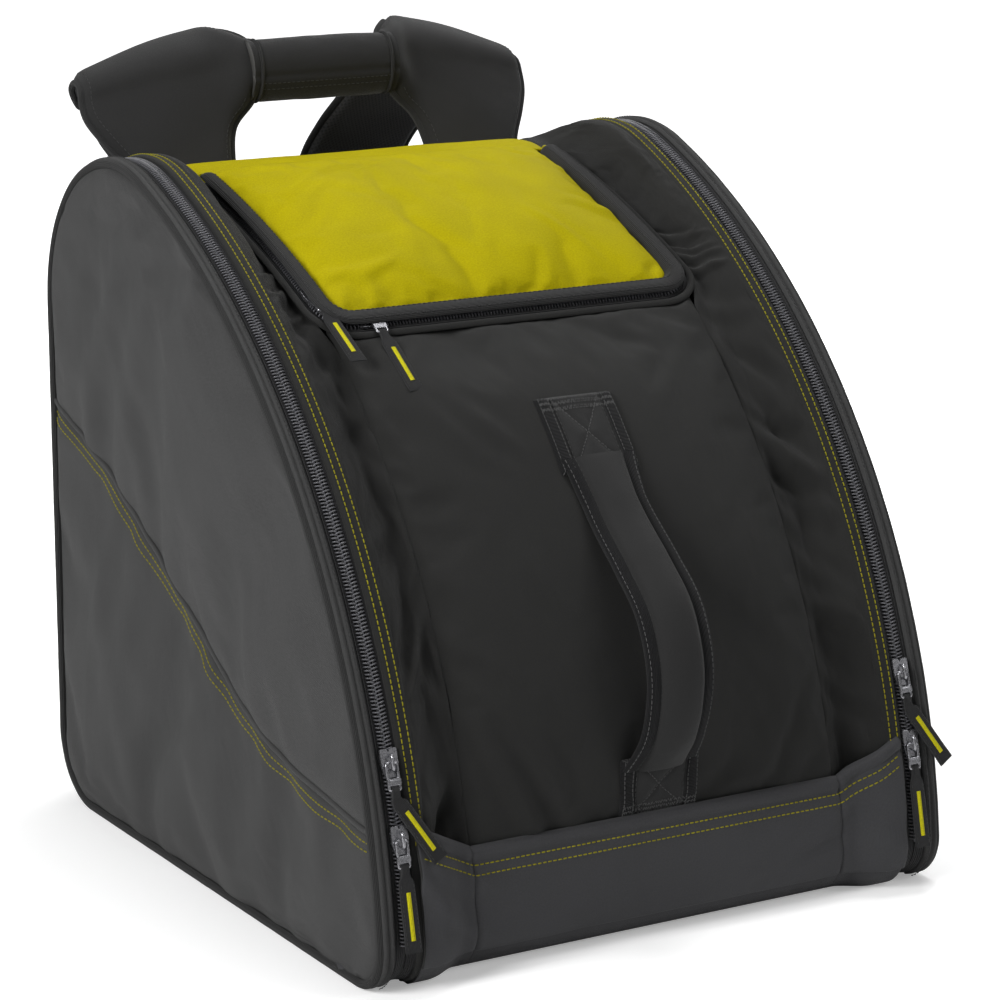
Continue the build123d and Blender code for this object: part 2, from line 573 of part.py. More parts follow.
if __name__ == "__main__":
    main()
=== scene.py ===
import json
import math

import bpy
import numpy as np
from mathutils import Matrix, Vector
from mathutils.bvhtree import BVHTree


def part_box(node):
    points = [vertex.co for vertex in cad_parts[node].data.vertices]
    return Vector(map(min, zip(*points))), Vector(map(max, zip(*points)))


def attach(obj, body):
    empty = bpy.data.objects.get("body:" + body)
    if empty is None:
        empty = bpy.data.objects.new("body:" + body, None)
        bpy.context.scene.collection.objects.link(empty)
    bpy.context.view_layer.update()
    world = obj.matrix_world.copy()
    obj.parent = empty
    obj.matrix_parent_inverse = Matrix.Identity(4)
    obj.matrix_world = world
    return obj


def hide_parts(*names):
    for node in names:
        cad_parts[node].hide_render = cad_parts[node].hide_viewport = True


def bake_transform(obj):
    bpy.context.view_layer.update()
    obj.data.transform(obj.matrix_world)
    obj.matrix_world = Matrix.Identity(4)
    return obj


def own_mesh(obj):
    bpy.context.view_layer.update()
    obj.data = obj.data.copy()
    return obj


# Looks of the ski boot backpack. Lengths below are in millimetres in the CAD frame and become metres
# when a mesh is made.
MM = 0.001
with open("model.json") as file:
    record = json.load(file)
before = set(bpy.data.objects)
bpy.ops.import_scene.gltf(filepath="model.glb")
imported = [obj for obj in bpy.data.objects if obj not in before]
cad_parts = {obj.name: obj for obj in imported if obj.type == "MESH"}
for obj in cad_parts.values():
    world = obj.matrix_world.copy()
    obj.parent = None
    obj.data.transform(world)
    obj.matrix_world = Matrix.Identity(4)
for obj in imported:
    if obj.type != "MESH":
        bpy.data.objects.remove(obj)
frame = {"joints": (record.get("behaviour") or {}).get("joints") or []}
JOINTS = {joint["name"]: joint for joint in frame["joints"]}
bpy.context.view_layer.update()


def node_box(node):
    low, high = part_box(node)
    return np.array(low) / MM, np.array(high) / MM


def joint_at(name):
    return np.array(JOINTS[name]["pos_m"]) / MM


def unit(v):
    v = np.asarray(v, float)
    return v / np.maximum(np.linalg.norm(v, axis=-1, keepdims=True), 1e-9)


# ---------------------------------------------------------------- body shape read from the frame

HALF_WIDTH, REAR_Y, HEIGHT = node_box("right_piping")[1]
FRONT_C = joint_at("right_upper_slide")[1:]
LID_C = joint_at("lid_side_slide")[1:]
TOP_R, REAR_CORNER, TOE_CORNER, TOP_REAR_R = 100.0, 45.0, 28.0, 60.0
TOP_C = np.array([REAR_Y - TOP_R, HEIGHT - TOP_R])
FRONT_R = np.hypot(*(TOP_C - FRONT_C)) + TOP_R
SET_BACK = 10.0
LID_R = 770.5
PANEL_HALF = node_box("front_panel")[1][0]
GUSSET_X = 163.3
ZIP_X = abs(joint_at("right_upper_slide")[0])
ZIP_INSET = 1.5
LID_ZIP_X, LID_ZIP_ANGLE, LID_CORNER = abs(joint_at("lid_side_slide")[0]), math.radians(51.8), 16.0
BAND_Z = (72.0, 91.0)
ZIP_END_Z = 28.0
SIDE_X = 188.2  # the flat plane that the side panels bulge from


def on_arc(centre, radius, theta):
    """Point and outward normal on a side-view arc. Theta is measured up from the front."""
    n = np.stack([-np.cos(theta), np.sin(theta)], -1)
    return np.asarray(centre) + radius * n, n


def angle_from(centre, point):
    return math.atan2(point[1] - centre[1], centre[0] - point[0])


def circles_meet(ca, ra, cb, rb):
    gap = np.hypot(*(cb - ca))
    along = (ra * ra - rb * rb + gap * gap) / (2 * gap)
    rise = math.sqrt(ra * ra - along * along)
    u = (cb - ca) / gap
    ends = [ca + along * u + s * rise * np.array([-u[1], u[0]]) for s in (1, -1)]
    return min(ends, key=lambda e: e[0])


def outline_runs(centre, off):
    """Seven runs round the bag's side view, from the underside forwards: (kind, data...)."""
    low = -off
    front_r = FRONT_R + off - (SET_BACK if centre else 0)
    fillet_z = TOE_CORNER
    toe_y = FRONT_C[0] - math.sqrt((front_r + low - TOE_CORNER) ** 2 - (fillet_z - FRONT_C[1]) ** 2)
    toe_c = (toe_y, fillet_z)
    start = angle_from(FRONT_C, toe_c)
    rear_c = (REAR_Y - REAR_CORNER, REAR_CORNER)
    ridge = circles_meet(FRONT_C, front_r, LID_C, LID_R + off)
    split = angle_from(FRONT_C, circles_meet(FRONT_C, FRONT_R - SET_BACK, LID_C, LID_R))
    runs = [("line", (rear_c[0], low), (toe_y, low), (0, -1))]
    runs.append(("arc", toe_c, TOE_CORNER + off, -math.pi / 2, start))
    if centre:
        corner_y = REAR_Y - TOP_REAR_R
        rise = math.sqrt((LID_R - TOP_REAR_R) ** 2 - (LID_C[0] - corner_y) ** 2)
        corner = (corner_y, LID_C[1] + rise)
        turn = angle_from(LID_C, corner)
        runs.append(("arc", FRONT_C, front_r, start, angle_from(FRONT_C, ridge)))
        runs.append(("arc", LID_C, LID_R + off, angle_from(LID_C, ridge), turn))
        runs.append(("arc", corner, TOP_REAR_R + off, turn, math.pi))
        top_z = corner[1]
    else:
        turn = angle_from(FRONT_C, TOP_C)
        runs.append(("arc", FRONT_C, front_r, start, split))
        runs.append(("arc", FRONT_C, front_r, split, turn))
        runs.append(("arc", TOP_C, TOP_R + off, turn, math.pi))
        top_z = TOP_C[1]
    runs.append(("line", (REAR_Y + off, top_z), (REAR_Y + off, rear_c[1]), (1, 0)))
    runs.append(("arc", rear_c, REAR_CORNER + off, math.pi, math.pi * 1.5))
    return runs


OUTLINES = {kind: outline_runs(kind, 0.0) for kind in (True, False)}


def outline_at(centre, t):
    """Side-view point and normal at run parameter t, from -7 to 7."""
    t = np.asarray(t, float) % 7
    point, normal = np.zeros(t.shape + (2,)), np.zeros(t.shape + (2,))
    for i, run in enumerate(OUTLINES[centre]):
        here = np.floor(t).astype(int) == i
        f = (t[here] - i)[..., None]
        if run[0] == "line":
            point[here] = np.array(run[1]) * (1 - f) + np.array(run[2]) * f
            normal[here] = run[3]
        else:
            point[here], normal[here] = on_arc(run[1], run[2], run[3] + (run[4] - run[3]) * f[..., 0])
    return point, normal


def body_at(x, t, off=0.0):
    """Point on the bag's skin, from the flat centre section to the raised boot pockets."""
    x, t, off = np.broadcast_arrays(np.asarray(x, float), np.asarray(t, float), np.asarray(off, float))
    k = np.clip((np.abs(x) - 130) / 22, 0, 1)
    k = (k * k * (3 - 2 * k))[..., None]
    centre, centre_n = outline_at(True, t)
    pocket, pocket_n = outline_at(False, t)
    n = unit(centre_n * (1 - k) + pocket_n * k)
    p = centre * (1 - k) + pocket * k + n * off[..., None]
    return np.concatenate([x[..., None], p], -1)


def t_at_height(z, centre=True, rear=False):
    """Run parameter where the front arc (or the rear line) reaches height z."""
    if rear:
        run = OUTLINES[centre][5]
        return 5 + (run[1][1] - z) / (run[1][1] - run[2][1])
    run = OUTLINES[centre][2]
    theta = np.arcsin((z - run[1][1]) / run[2])
    return 2 + (theta - run[3]) / (run[4] - run[3])


FRONT_RUN, LID_RUN = OUTLINES[True][2], OUTLINES[True][3]
T_ZIP = 2 + (LID_ZIP_ANGLE - FRONT_RUN[3]) / (FRONT_RUN[4] - FRONT_RUN[3])
FRONT_LEN = FRONT_RUN[2] * (FRONT_RUN[4] - FRONT_RUN[3])
LID_LEN = LID_RUN[2] * (LID_RUN[4] - LID_RUN[3])
ZIP_TO_RIDGE = (3 - T_ZIP) * FRONT_LEN
HINGE_Y = joint_at("lid_open")[1]
T_HINGE = 3 + (angle_from(LID_C, (HINGE_Y, joint_at("lid_open")[2])) - LID_RUN[3]) / (LID_RUN[4] - LID_RUN[3])
LID_DEPTH = ZIP_TO_RIDGE + (T_HINGE - 3) * LID_LEN


def t_from_zip(d):
    """Run parameter at distance d up the slope from the lid zip's front run."""
    d = np.asarray(d, float)
    return np.where(d < ZIP_TO_RIDGE, T_ZIP + d / FRONT_LEN, 3 + (d - ZIP_TO_RIDGE) / LID_LEN)


# ---------------------------------------------------------------- materials


def new_material(name):
    material = bpy.data.materials.new(name)
    material.use_nodes = True
    tree = material.node_tree
    return material, tree, tree.nodes["Principled BSDF"]


def node(tree, kind, inputs=None, **settings):
    made = tree.nodes.new(kind)
    for key, value in settings.items():
        setattr(made, key, value)
    for key, value in (inputs or {}).items():
        if isinstance(value, bpy.types.NodeSocket):
            tree.links.new(value, made.inputs[key])
        else:
            made.inputs[key].default_value = value
    return made


def math_node(tree, op, a, b=0.0):
    return node(tree, "ShaderNodeMath", {0: a, 1: b}, operation=op).outputs[0]


def weighted(tree, base, *terms):
    """Sum of a base value and each (socket, share)."""
    total = base
    for socket, share in terms:
        step = node(tree, "ShaderNodeMath", {0: socket, 1: share, 2: total}, operation="MULTIPLY_ADD")
        total = step.outputs[0]
    return total


def noise_node(tree, where, scale, detail, **more):
    inputs = {"Vector": where, "Scale": scale, "Detail": detail, **more}
    return node(tree, "ShaderNodeTexNoise", inputs).outputs[0]


def bump_node(tree, strength, distance, height, **more):
    inputs = {"Strength": strength, "Distance": distance, "Height": height, **more}
    return node(tree, "ShaderNodeBump", inputs).outputs[0]


def srgb(r, g, b):
    """Linear colour with alpha from display values of 0 to 255."""
    linear = [c / 255 / 12.92 if c < 10 else ((c / 255 + 0.055) / 1.055) ** 2.4 for c in (r, g, b)]
    return (*linear, 1)


def fabric(
    name, colour, pitch=0.75, weave=0.5, rough=0.86, sheen=0.05, wrinkle=0.25, kind="plain", spec=0.25
):
    """Woven cloth from its UV lengths: threads over and under, fading, fine creases, and painted shade in the
    weave's hollows.
    """
    material, tree, shader = new_material(name)
    uv = node(tree, "ShaderNodeUVMap").outputs[0]
    parts = node(tree, "ShaderNodeSeparateXYZ", {0: uv})
    turn = 2 * math.pi / (pitch * MM)
    u, v = (math_node(tree, "MULTIPLY", parts.outputs[i], turn) for i in (0, 1))
    if kind == "twill":
        v = math_node(tree, "ADD", u, v)
    height = math_node(tree, "SINE", v)
    if kind != "rib":
        height = math_node(tree, "MULTIPLY", math_node(tree, "SINE", u), height)
    if kind == "mesh":
        height = math_node(tree, "GREATER_THAN", height, -0.15)
    blotch = noise_node(tree, uv, 26.0, 5.0)
    fine = noise_node(tree, uv, 900.0, 2.0)
    # The blotch and fine noise are random tone. The weave height also darkens the colour in the hollows
    # between threads, and in a mesh's holes: painted shade.
    thread, dark = (0.35, 0.25) if kind == "mesh" else (0.16, 0.55)
    tone_and_shade = weighted(tree, dark, (blotch, 0.34), (fine, 0.56), (height, thread))
    tint = node(tree, "ShaderNodeVectorMath", {0: srgb(*colour)[:3], "Scale": tone_and_shade}, operation="SCALE")
    tree.links.new(tint.outputs[0], shader.inputs["Base Color"])
    tree.links.new(weighted(tree, rough - 0.08, (blotch, 0.16)), shader.inputs["Roughness"])
    shader.inputs["Sheen Weight"].default_value = sheen
    shader.inputs["Sheen Roughness"].default_value = 0.45
    shader.inputs["Specular IOR Level"].default_value = spec
    stretched = node(tree, "ShaderNodeMapping", {"Vector": uv, "Scale": (1.0, 0.45, 1.0)}).outputs[0]
    creases = noise_node(tree, stretched, 48.0, 4.0, Distortion=0.6)
    creased = bump_node(tree, wrinkle, 0.004, creases)
    tree.links.new(bump_node(tree, weave, 0.0003, height, Normal=creased), shader.inputs["Normal"])
    return material


def hard(name, colour, rough, metallic=0.0):
    """Metal or plastic with faint scratches."""
    material, tree, shader = new_material(name)
    noise = noise_node(tree, node(tree, "ShaderNodeTexCoord").outputs["Object"], 600.0, 6.0)
    shader.inputs["Base Color"].default_value = srgb(*colour)
    shader.inputs["Metallic"].default_value = metallic
    tree.links.new(weighted(tree, rough - 0.12, (noise, 0.25)), shader.inputs["Roughness"])
    tree.links.new(bump_node(tree, 0.05, 0.0002, noise), shader.inputs["Normal"])
    return material


SHELL = fabric("shell_cloth", (31, 31, 30), pitch=0.7, wrinkle=0.22)
# The side pieces are the shell cloth painted lighter: painted light standing for the key lamp on the sides.
SHELL_LIT = fabric("shell_cloth_lit", (57, 57, 57), pitch=0.7, wrinkle=0.3)
BASE = fabric("base_cloth", (31, 31, 30), pitch=0.95, weave=0.6, wrinkle=0.12, kind="twill")
YELLOW = fabric(
    "lid_cloth", (160, 149, 0), pitch=0.6, weave=0.3, wrinkle=0.2, sheen=0.0, rough=0.78, spec=0.08
)
STRETCH = fabric("harness_cloth", (30, 30, 30), pitch=0.5, weave=0.3, wrinkle=0.05, sheen=0.1, rough=0.8)
BINDING = fabric("binding_tape", (40, 40, 40), pitch=0.9, weave=0.8, wrinkle=0.04, kind="rib")
TAPE = fabric("zip_tape", (34, 34, 35), pitch=1.3, weave=1.0, wrinkle=0.02, kind="rib")
MESH = fabric("spacer_mesh", (66, 66, 67), pitch=3.2, weave=1.0, wrinkle=0.02, kind="mesh")
LINING = fabric("lining_cloth", (52, 52, 54), pitch=0.6, weave=0.25, wrinkle=0.15, rough=0.7)
WEBBING = fabric("woven_webbing", (30, 30, 31), pitch=1.8, weave=1.0, wrinkle=0.02, kind="rib")
RIBBON = fabric("pull_ribbon", (36, 36, 37), pitch=0.8, weave=0.8, wrinkle=0.02, kind="rib")
STRIPE = fabric("stripe_ribbon", (206, 198, 12), pitch=0.8, weave=0.8, wrinkle=0.0, kind="rib", sheen=0.02)
LIME = fabric("lime_thread", (150, 144, 12), pitch=0.5, weave=0.8, wrinkle=0.0, kind="twill", sheen=0.02)
DARK = fabric("dark_thread", (58, 58, 58), pitch=0.5, weave=0.8, wrinkle=0.0, kind="twill")
PALE = fabric("grey_thread", (88, 88, 88), pitch=0.5, weave=0.8, wrinkle=0.0, kind="twill")
COIL = hard("nylon_coil", (82, 82, 86), 0.3)
METAL = hard("gunmetal", (150, 150, 154), 0.27, 0.9)
PLASTIC = hard("moulded_plastic", (26, 26, 27), 0.42)
BOARD = hard("board_sheet", (40, 40, 41), 0.6)
HEM = fabric("edge_tape", (24, 24, 25), pitch=0.9, weave=0.8, wrinkle=0.04, kind="rib", spec=0.15)
FOAM = fabric("foam_pad", (44, 44, 46), pitch=3.6, weave=0.8, wrinkle=0.03, kind="mesh")


# ---------------------------------------------------------------- mesh making


def make_object(name, verts, faces, uvs=None, material=None, smooth=True):
    """Mesh object from millimetre vertices. UVs are lengths in metres, one per vertex."""
    mesh = bpy.data.meshes.new(name)
    mesh.from_pydata((np.asarray(verts) * MM).tolist(), [], [list(map(int, f)) for f in faces])
    if uvs is not None:
        index = np.zeros(len(mesh.loops), np.int32)
        mesh.loops.foreach_get("vertex_index", index)
        layer = mesh.uv_layers.new(name="UVMap")
        layer.data.foreach_set("uv", (np.asarray(uvs)[index] * MM).astype(np.float32).ravel())
    mesh.polygons.foreach_set("use_smooth", [smooth] * len(mesh.polygons))
    mesh.validate()
    made = bpy.data.objects.new(name, mesh)
    bpy.context.scene.collection.objects.link(made)
    if material:
        mesh.materials.append(material)
    return made


def grid_faces(nu, nv, wrap_u=False, wrap_v=False):
    iu = np.arange(nu if wrap_u else nu - 1)
    iv = np.arange(nv if wrap_v else nv - 1)
    a, b = np.meshgrid(iu, iv, indexing="ij")
    a2, b2 = (a + 1) % nu, (b + 1) % nv
    return np.stack([a * nv + b, a2 * nv + b, a2 * nv + b2, a * nv + b2], -1).reshape(-1, 4)


def capped_faces(rows, around):
    """Outward faces of a tube of rows of points, closed at both ends."""
    faces = [list(q[::-1]) for q in grid_faces(rows, around, False, True)]
    return faces + [list(range(around)), [rows * around - 1 - i for i in range(around)]]


def spread(x, y, z):
    """Points from coordinates of different shapes, spread to one grid."""
    return np.stack(np.broadcast_arrays(x, y, z), -1)


def running_length(points):
    """Distance along a path to each of its points."""
    return np.r_[0, np.cumsum(np.linalg.norm(np.diff(points, axis=0), axis=1))]


def grid_lengths(points):
    """UV lengths in millimetres measured along the middle row and column."""
    nu, nv = points.shape[:2]
    u, v = running_length(points[:, nv // 2]), running_length(points[nu // 2])
    return np.stack(np.meshgrid(u, v, indexing="ij"), -1)


def grid(name, points, material, outward):
    """Sheet through a (nu, nv, 3) array, with its normals turned towards outward."""
    nu, nv = points.shape[:2]
    faces = grid_faces(nu, nv)
    mid = points[nu // 2, nv // 2]
    normal = np.cross(points[nu // 2 + 1, nv // 2] - mid, points[nu // 2, nv // 2 + 1] - mid)
    if normal @ np.asarray(outward, float) < 0:
        faces = faces[:, ::-1]
    return make_object(name, points.reshape(-1, 3), faces, grid_lengths(points).reshape(-1, 2), material)


def join(name, objects):
    """Several meshes made into one piece."""
    first = objects[0]
    chosen = dict(selected_objects=objects, selected_editable_objects=objects)
    with bpy.context.temp_override(active_object=first, object=first, **chosen):
        bpy.ops.object.join()
    objects[0].name = name
    return objects[0]


def place(made, body, *nodes, slot=None):
    """Gives a finished piece its CAD body and hides the nodes it stands for. The slot is not used."""
    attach(made, body)
    if nodes:
        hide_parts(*nodes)
    return made


def smooth_sub(made, levels=1):
    mod = made.modifiers.new("smooth", "SUBSURF")
    mod.levels = mod.render_levels = levels
    return made


def thicken(made, thickness, lining=None):
    """Gives a sheet its thickness on the inner side, with the lining as the inner face."""
    mod = made.modifiers.new("thick", "SOLIDIFY")
    mod.thickness, mod.offset = thickness * MM, -1
    if lining:
        made.data.materials.append(lining)
        mod.material_offset = 1
        mod.material_offset_rim = 0
    return made


def resample(points, step=None, count=None):
    points = np.asarray(points, float)
    s = running_length(points)
    count = count or max(2, int(round(s[-1] / step)) + 1)
    at = np.linspace(0, s[-1], count)
    return np.stack([np.interp(at, s, points[:, i]) for i in range(points.shape[1])], 1)


def spline(points, count=40):
    """Smooth curve through points (centripetal Catmull-Rom), evenly resampled."""
    p = np.asarray(points, float)
    if len(p) == 2:
        return resample(p, count=count)
    p = np.vstack([2 * p[0] - p[1], p, 2 * p[-1] - p[-2]])
    out = []
    for i in range(1, len(p) - 2):
        t = [0.0]
        for j in range(3):
            t.append(t[-1] + max(np.linalg.norm(p[i + j] - p[i + j - 1]), 1e-6) ** 0.5)

        def mix(lower, upper, j, k):
            """Blend of two points by where u lies between knots j and k."""
            return (t[k] - u) / (t[k] - t[j]) * lower + (u - t[j]) / (t[k] - t[j]) * upper

        for u in np.linspace(t[1], t[2], 24, endpoint=i == len(p) - 3):
            a = [mix(p[i - 1 + j], p[i + j], j, j + 1) for j in range(3)]
            b = [mix(a[j], a[j + 1], j, j + 2) for j in range(2)]
            out.append(mix(b[0], b[1], 1, 2))
    return resample(out, count=count)


def coons(bottom, top, left, right):
    """Grid that fills four edges: bottom and top run the same way, as do left and right."""
    nu, nv = len(bottom), len(left)
    u, v = np.linspace(0, 1, nu)[:, None, None], np.linspace(0, 1, nv)[None, :, None]
    ruled = (1 - v) * bottom[:, None] + v * top[:, None] + (1 - u) * left[None] + u * right[None]
    low = (1 - u) * (1 - v) * bottom[0] + u * (1 - v) * bottom[-1]
    return ruled - (low + (1 - u) * v * top[0] + u * v * top[-1])


def grid_normals(points):
    return unit(np.cross(np.gradient(points, axis=0), np.gradient(points, axis=1)))


def tube(name, path, radius, material, sides=8, closed=False, flat=1.0, caps=True):
    """Round or flattened cord along a path, with frames carried smoothly along it."""
    path = np.asarray(path, float)
    n = len(path)
    if closed:
        tangent = unit(np.roll(path, -1, 0) - np.roll(path, 1, 0))
    else:
        tangent = unit(np.gradient(path, axis=0))
    side = np.cross(tangent[0], [0.31, 0.95, 0.1])
    sides_list = []
    for t in tangent:
        side = unit(side - (side @ t) * t)
        sides_list.append(side)
    side = np.array(sides_list)
    up = np.cross(tangent, side)
    a = np.linspace(0, 2 * math.pi, sides, endpoint=False)
    r = np.broadcast_to(np.asarray(radius, float), (n,))[:, None, None]
    ring = side[:, None] * np.cos(a)[None, :, None] + up[:, None] * np.sin(a)[None, :, None] * flat
    points = path[:, None] + ring * r
    faces = [list(f) for f in grid_faces(n, sides, closed, True)]
    if not closed and caps:
        faces.append(list(range(sides - 1, -1, -1)))
        faces.append([(n - 1) * sides + i for i in range(sides)])
    s = np.r_[0, np.cumsum(np.linalg.norm(np.diff(path, axis=0), axis=1))]
    mean = float(np.mean(radius))
    uv = np.stack([np.repeat(s, sides), np.tile(a * mean, n)], 1)
    faces = [f[::-1] for f in faces]
    return make_object(name, points.reshape(-1, 3), faces, uv, material)


def stitch_row(path, normals, length=2.7, gap=0.6, radius=0.42):
    """Vertices and faces of one row of separate stitches that dip into the cloth at both ends."""
    path, normals = np.asarray(path, float), np.asarray(normals, float)
    s = np.r_[0, np.cumsum(np.linalg.norm(np.diff(path, axis=0), axis=1))]
    count = max(1, int(s[-1] / (length + gap)))
    starts = (np.arange(count) + 0.15) * (s[-1] / count)
    span = s[-1] / count * length / (length + gap)
    f = np.array([0, 0.12, 0.35, 0.65, 0.88, 1.0])
    at = starts[:, None] + f[None] * span
    c = np.stack([np.interp(at, s, path[:, i]) for i in range(3)], -1)
    n = unit(np.stack([np.interp(at, s, normals[:, i]) for i in range(3)], -1))
    lift = np.array([-0.75, -0.05, 0.22, 0.22, -0.05, -0.75]) * radius
    c = c + n * lift[None, :, None]
    t = unit(c[:, -1] - c[:, 0])[:, None]
    b = unit(np.cross(n, t))
    size = np.array([0.45, 0.9, 1.0, 1.0, 0.9, 0.45]) * radius
    a = np.linspace(0, 2 * math.pi, 6, endpoint=False)
    ring = b[:, :, None] * np.cos(a)[None, None, :, None] + n[:, :, None] * np.sin(a)[None, None, :, None]
    verts = c[:, :, None] + ring * size[None, :, None, None]
    one = [list(q) for q in grid_faces(6, 6, False, True)] + [[0, 1, 2, 3, 4, 5], [35, 34, 33, 32, 31, 30]]
    faces = [[i + k * 36 for i in face] for k in range(count) for face in one]
    return verts.reshape(-1, 3), faces


def stitch_rows(rows, *style, **named):
    """Vertices and faces of several rows of stitches; each row is (path, normals)."""
    verts, faces = [], []
    for path, normals in rows:
        v, f = stitch_row(path, normals, *style, **named)
        start = sum(len(x) for x in verts)
        verts.append(v)
        faces += [[i + start for i in face] for face in f]
    return np.vstack(verts), faces


def stitches(name, rows, material, body, **style):
    """One piece from several rows of stitches."""
    verts, faces = stitch_rows(rows, **style)
    uv = np.stack([verts[:, 0] + verts[:, 1], verts[:, 2]], 1)
    return place(make_object(name, verts, faces, uv, material), body)


class Surface:
    """Finished sheets that stitches, patches and seams are laid on."""

    def __init__(self, *objects):
        graph = bpy.context.evaluated_depsgraph_get()
        verts, faces = [], []
        for o in objects:
            mesh = o.evaluated_get(graph).to_mesh()
            start = len(verts)
            verts += [v.co.copy() for v in mesh.vertices]
            faces += [[start + i for i in p.vertices] for p in mesh.polygons]
        self.tree = BVHTree.FromPolygons(verts, faces)

    def along(self, path, direction, reach=40.0):
        """Drops a path onto the sheets along -direction, returning points and normals."""
        path = np.asarray(path, float)
        direction = np.broadcast_to(unit(direction), path.shape)
        points, normals = [], []
        for p, d in zip(path, direction):
            start = Vector((p + d * reach) * MM)
            hit, normal, _, _ = self.tree.ray_cast(start, Vector(-d), 4 * reach * MM)
            if hit is None:
                hit, normal, _, _ = self.tree.find_nearest(Vector(p * MM))
            normal = np.array(normal)
            normal = normal if normal @ d > 0 else -normal
            points.append(np.array(hit) / MM)
            normals.append(normal)
        return np.array(points), unit(np.array(normals))


def simulate(made, pin, pressure=1.5, grow=0.015, frames=18, bend=1.2, gravity=0.0, stiff=20):
    """Cloth simulation of one panel that is sewn along its pinned vertices."""
    scene = bpy.context.scene
    group = made.vertex_groups.new(name="sewn")
    for i, weight in enumerate(pin):
        if weight > 0:
            group.add([i], float(weight), "REPLACE")
    mod = made.modifiers.new("cloth", "CLOTH")
    cfg = mod.settings
    cfg.quality = 6
    cfg.mass = 0.15
    cfg.tension_stiffness = cfg.compression_stiffness = stiff
    cfg.shear_stiffness = stiff / 3
    cfg.bending_stiffness = bend
    cfg.air_damping = 3
    cfg.vertex_group_mass = "sewn"
    cfg.shrink_min = -grow
    cfg.use_pressure = pressure != 0
    cfg.uniform_pressure_force = pressure
    cfg.effector_weights.gravity = gravity
    mod.collision_settings.use_collision = False
    mod.point_cache.frame_start, mod.point_cache.frame_end = 1, frames
    for f in range(1, frames + 1):
        scene.frame_set(f)
    graph = bpy.context.evaluated_depsgraph_get()
    shape = made.evaluated_get(graph)
    co = np.zeros(len(shape.data.vertices) * 3, np.float32)
    shape.data.vertices.foreach_get("co", co)
    made.modifiers.remove(mod)
    made.vertex_groups.remove(group)
    made.data.vertices.foreach_set("co", co)
    made.data.update()
    scene.frame_set(1)
    return made


def edge_pins(nu, nv, rows=1):
    pin = np.zeros((nu, nv))
    pin[:rows], pin[-rows:], pin[:, :rows], pin[:, -rows:] = 1, 1, 1, 1
    return pin.ravel()


def edge_distance(points, free=()):
    """Distance of every grid vertex to the grid's border, leaving out the free edges."""
    edges = {"u0": points[0], "u1": points[-1], "v0": points[:, 0], "v1": points[:, -1]}
    border = np.vstack([line for key, line in edges.items() if key not in free])
    flat = points.reshape(-1, 3)
    d = np.full(len(flat), 1e9)
    for chunk in np.array_split(border, max(1, len(border) // 64)):
        d = np.minimum(d, np.linalg.norm(flat[:, None] - chunk[None], axis=2).min(1))
    return d.reshape(points.shape[:2])


def folds(points, scale, seed, stretch=(1, 1, 1)):
    """Smooth random field from a few summed waves, used for soft creases."""
    rng = np.random.default_rng(seed)
    total = np.zeros(points.shape[:-1])
    q = points * np.asarray(stretch) / scale
    for octave in range(4):
        for _ in range(5):
            k = unit(rng.normal(size=3)) * 2.1**octave
            total += np.sin(q @ k * 2 * math.pi + rng.uniform(0, 6.28)) / 1.8**octave
    return total / 8.0


def crease_field(u, v, count, seed, span_u, span_v, angle, length=(20, 45), width=(5, 10), height=(0.8, 2.2)):
    """Creases pulled into cloth by its seams: short ridges with a valley on both sides, at seeded places."""
    rng = np.random.default_rng(seed)
    total = np.zeros(np.broadcast(u, v).shape)
    for _ in range(count):
        cu, cv = rng.uniform(*span_u), rng.uniform(*span_v)
        a, bow = math.radians(rng.uniform(*angle)), rng.uniform(-0.006, 0.006)
        along = (u - cu) * math.cos(a) + (v - cv) * math.sin(a)
        across = (v - cv) * math.cos(a) - (u - cu) * math.sin(a) + bow * along**2
        q = (across / rng.uniform(*width)) ** 2
        ridge = (1 - 1.1 * q) * np.exp(-q) * np.exp(-((along / rng.uniform(*length)) ** 2))
        total += ridge * rng.uniform(*height) * rng.choice((1, 1, -1))
    return total


# ---------------------------------------------------------------- body panels


def column(a, b, n):
    return np.linspace(a, b, n)


def lid_corner_rise(x, straight, radius):
    over = np.clip(np.abs(x) - straight, 0, radius * 0.999)
    return radius - np.sqrt(radius**2 - over**2)


def finish_panel(
    name,
    points,
    material,
    outward,
    puff,
    seed,
    creases=1.0,
    cloth=None,
    thick=1.6,
    free=(),
    reach=14.0,
    extra=0.0,
    tuck=1.4,
):
    """A sewn panel: puffed, creased, simulated as cloth, subdivided and lined."""
    nu, nv = points.shape[:2]
    n = grid_normals(points)
    if n[nu // 2, nv // 2] @ np.asarray(outward, float) < 0:
        n = -n
    d = edge_distance(points, free)
    rise = 1 - np.exp(-d / reach)
    edge = np.clip(d / 10.0, 0, 1)
    sewn_in = tuck * np.exp(-d / (1.6 + 0.4 * tuck))
    shape = puff * rise - sewn_in + creases * folds(points, 150, seed) * 2.2 * edge
    shape += creases * folds(points, 60, seed + 50) * 0.9 * edge
    shape += extra * np.clip(d / 5.0, 0, 1)
    points = points + n * shape[..., None]
    made = grid(name, points, material, outward)
    if cloth:
        simulate(made, edge_pins(nu, nv), **cloth)
    smooth_sub(made, 1)
    thicken(made, thick, LINING)
    return made


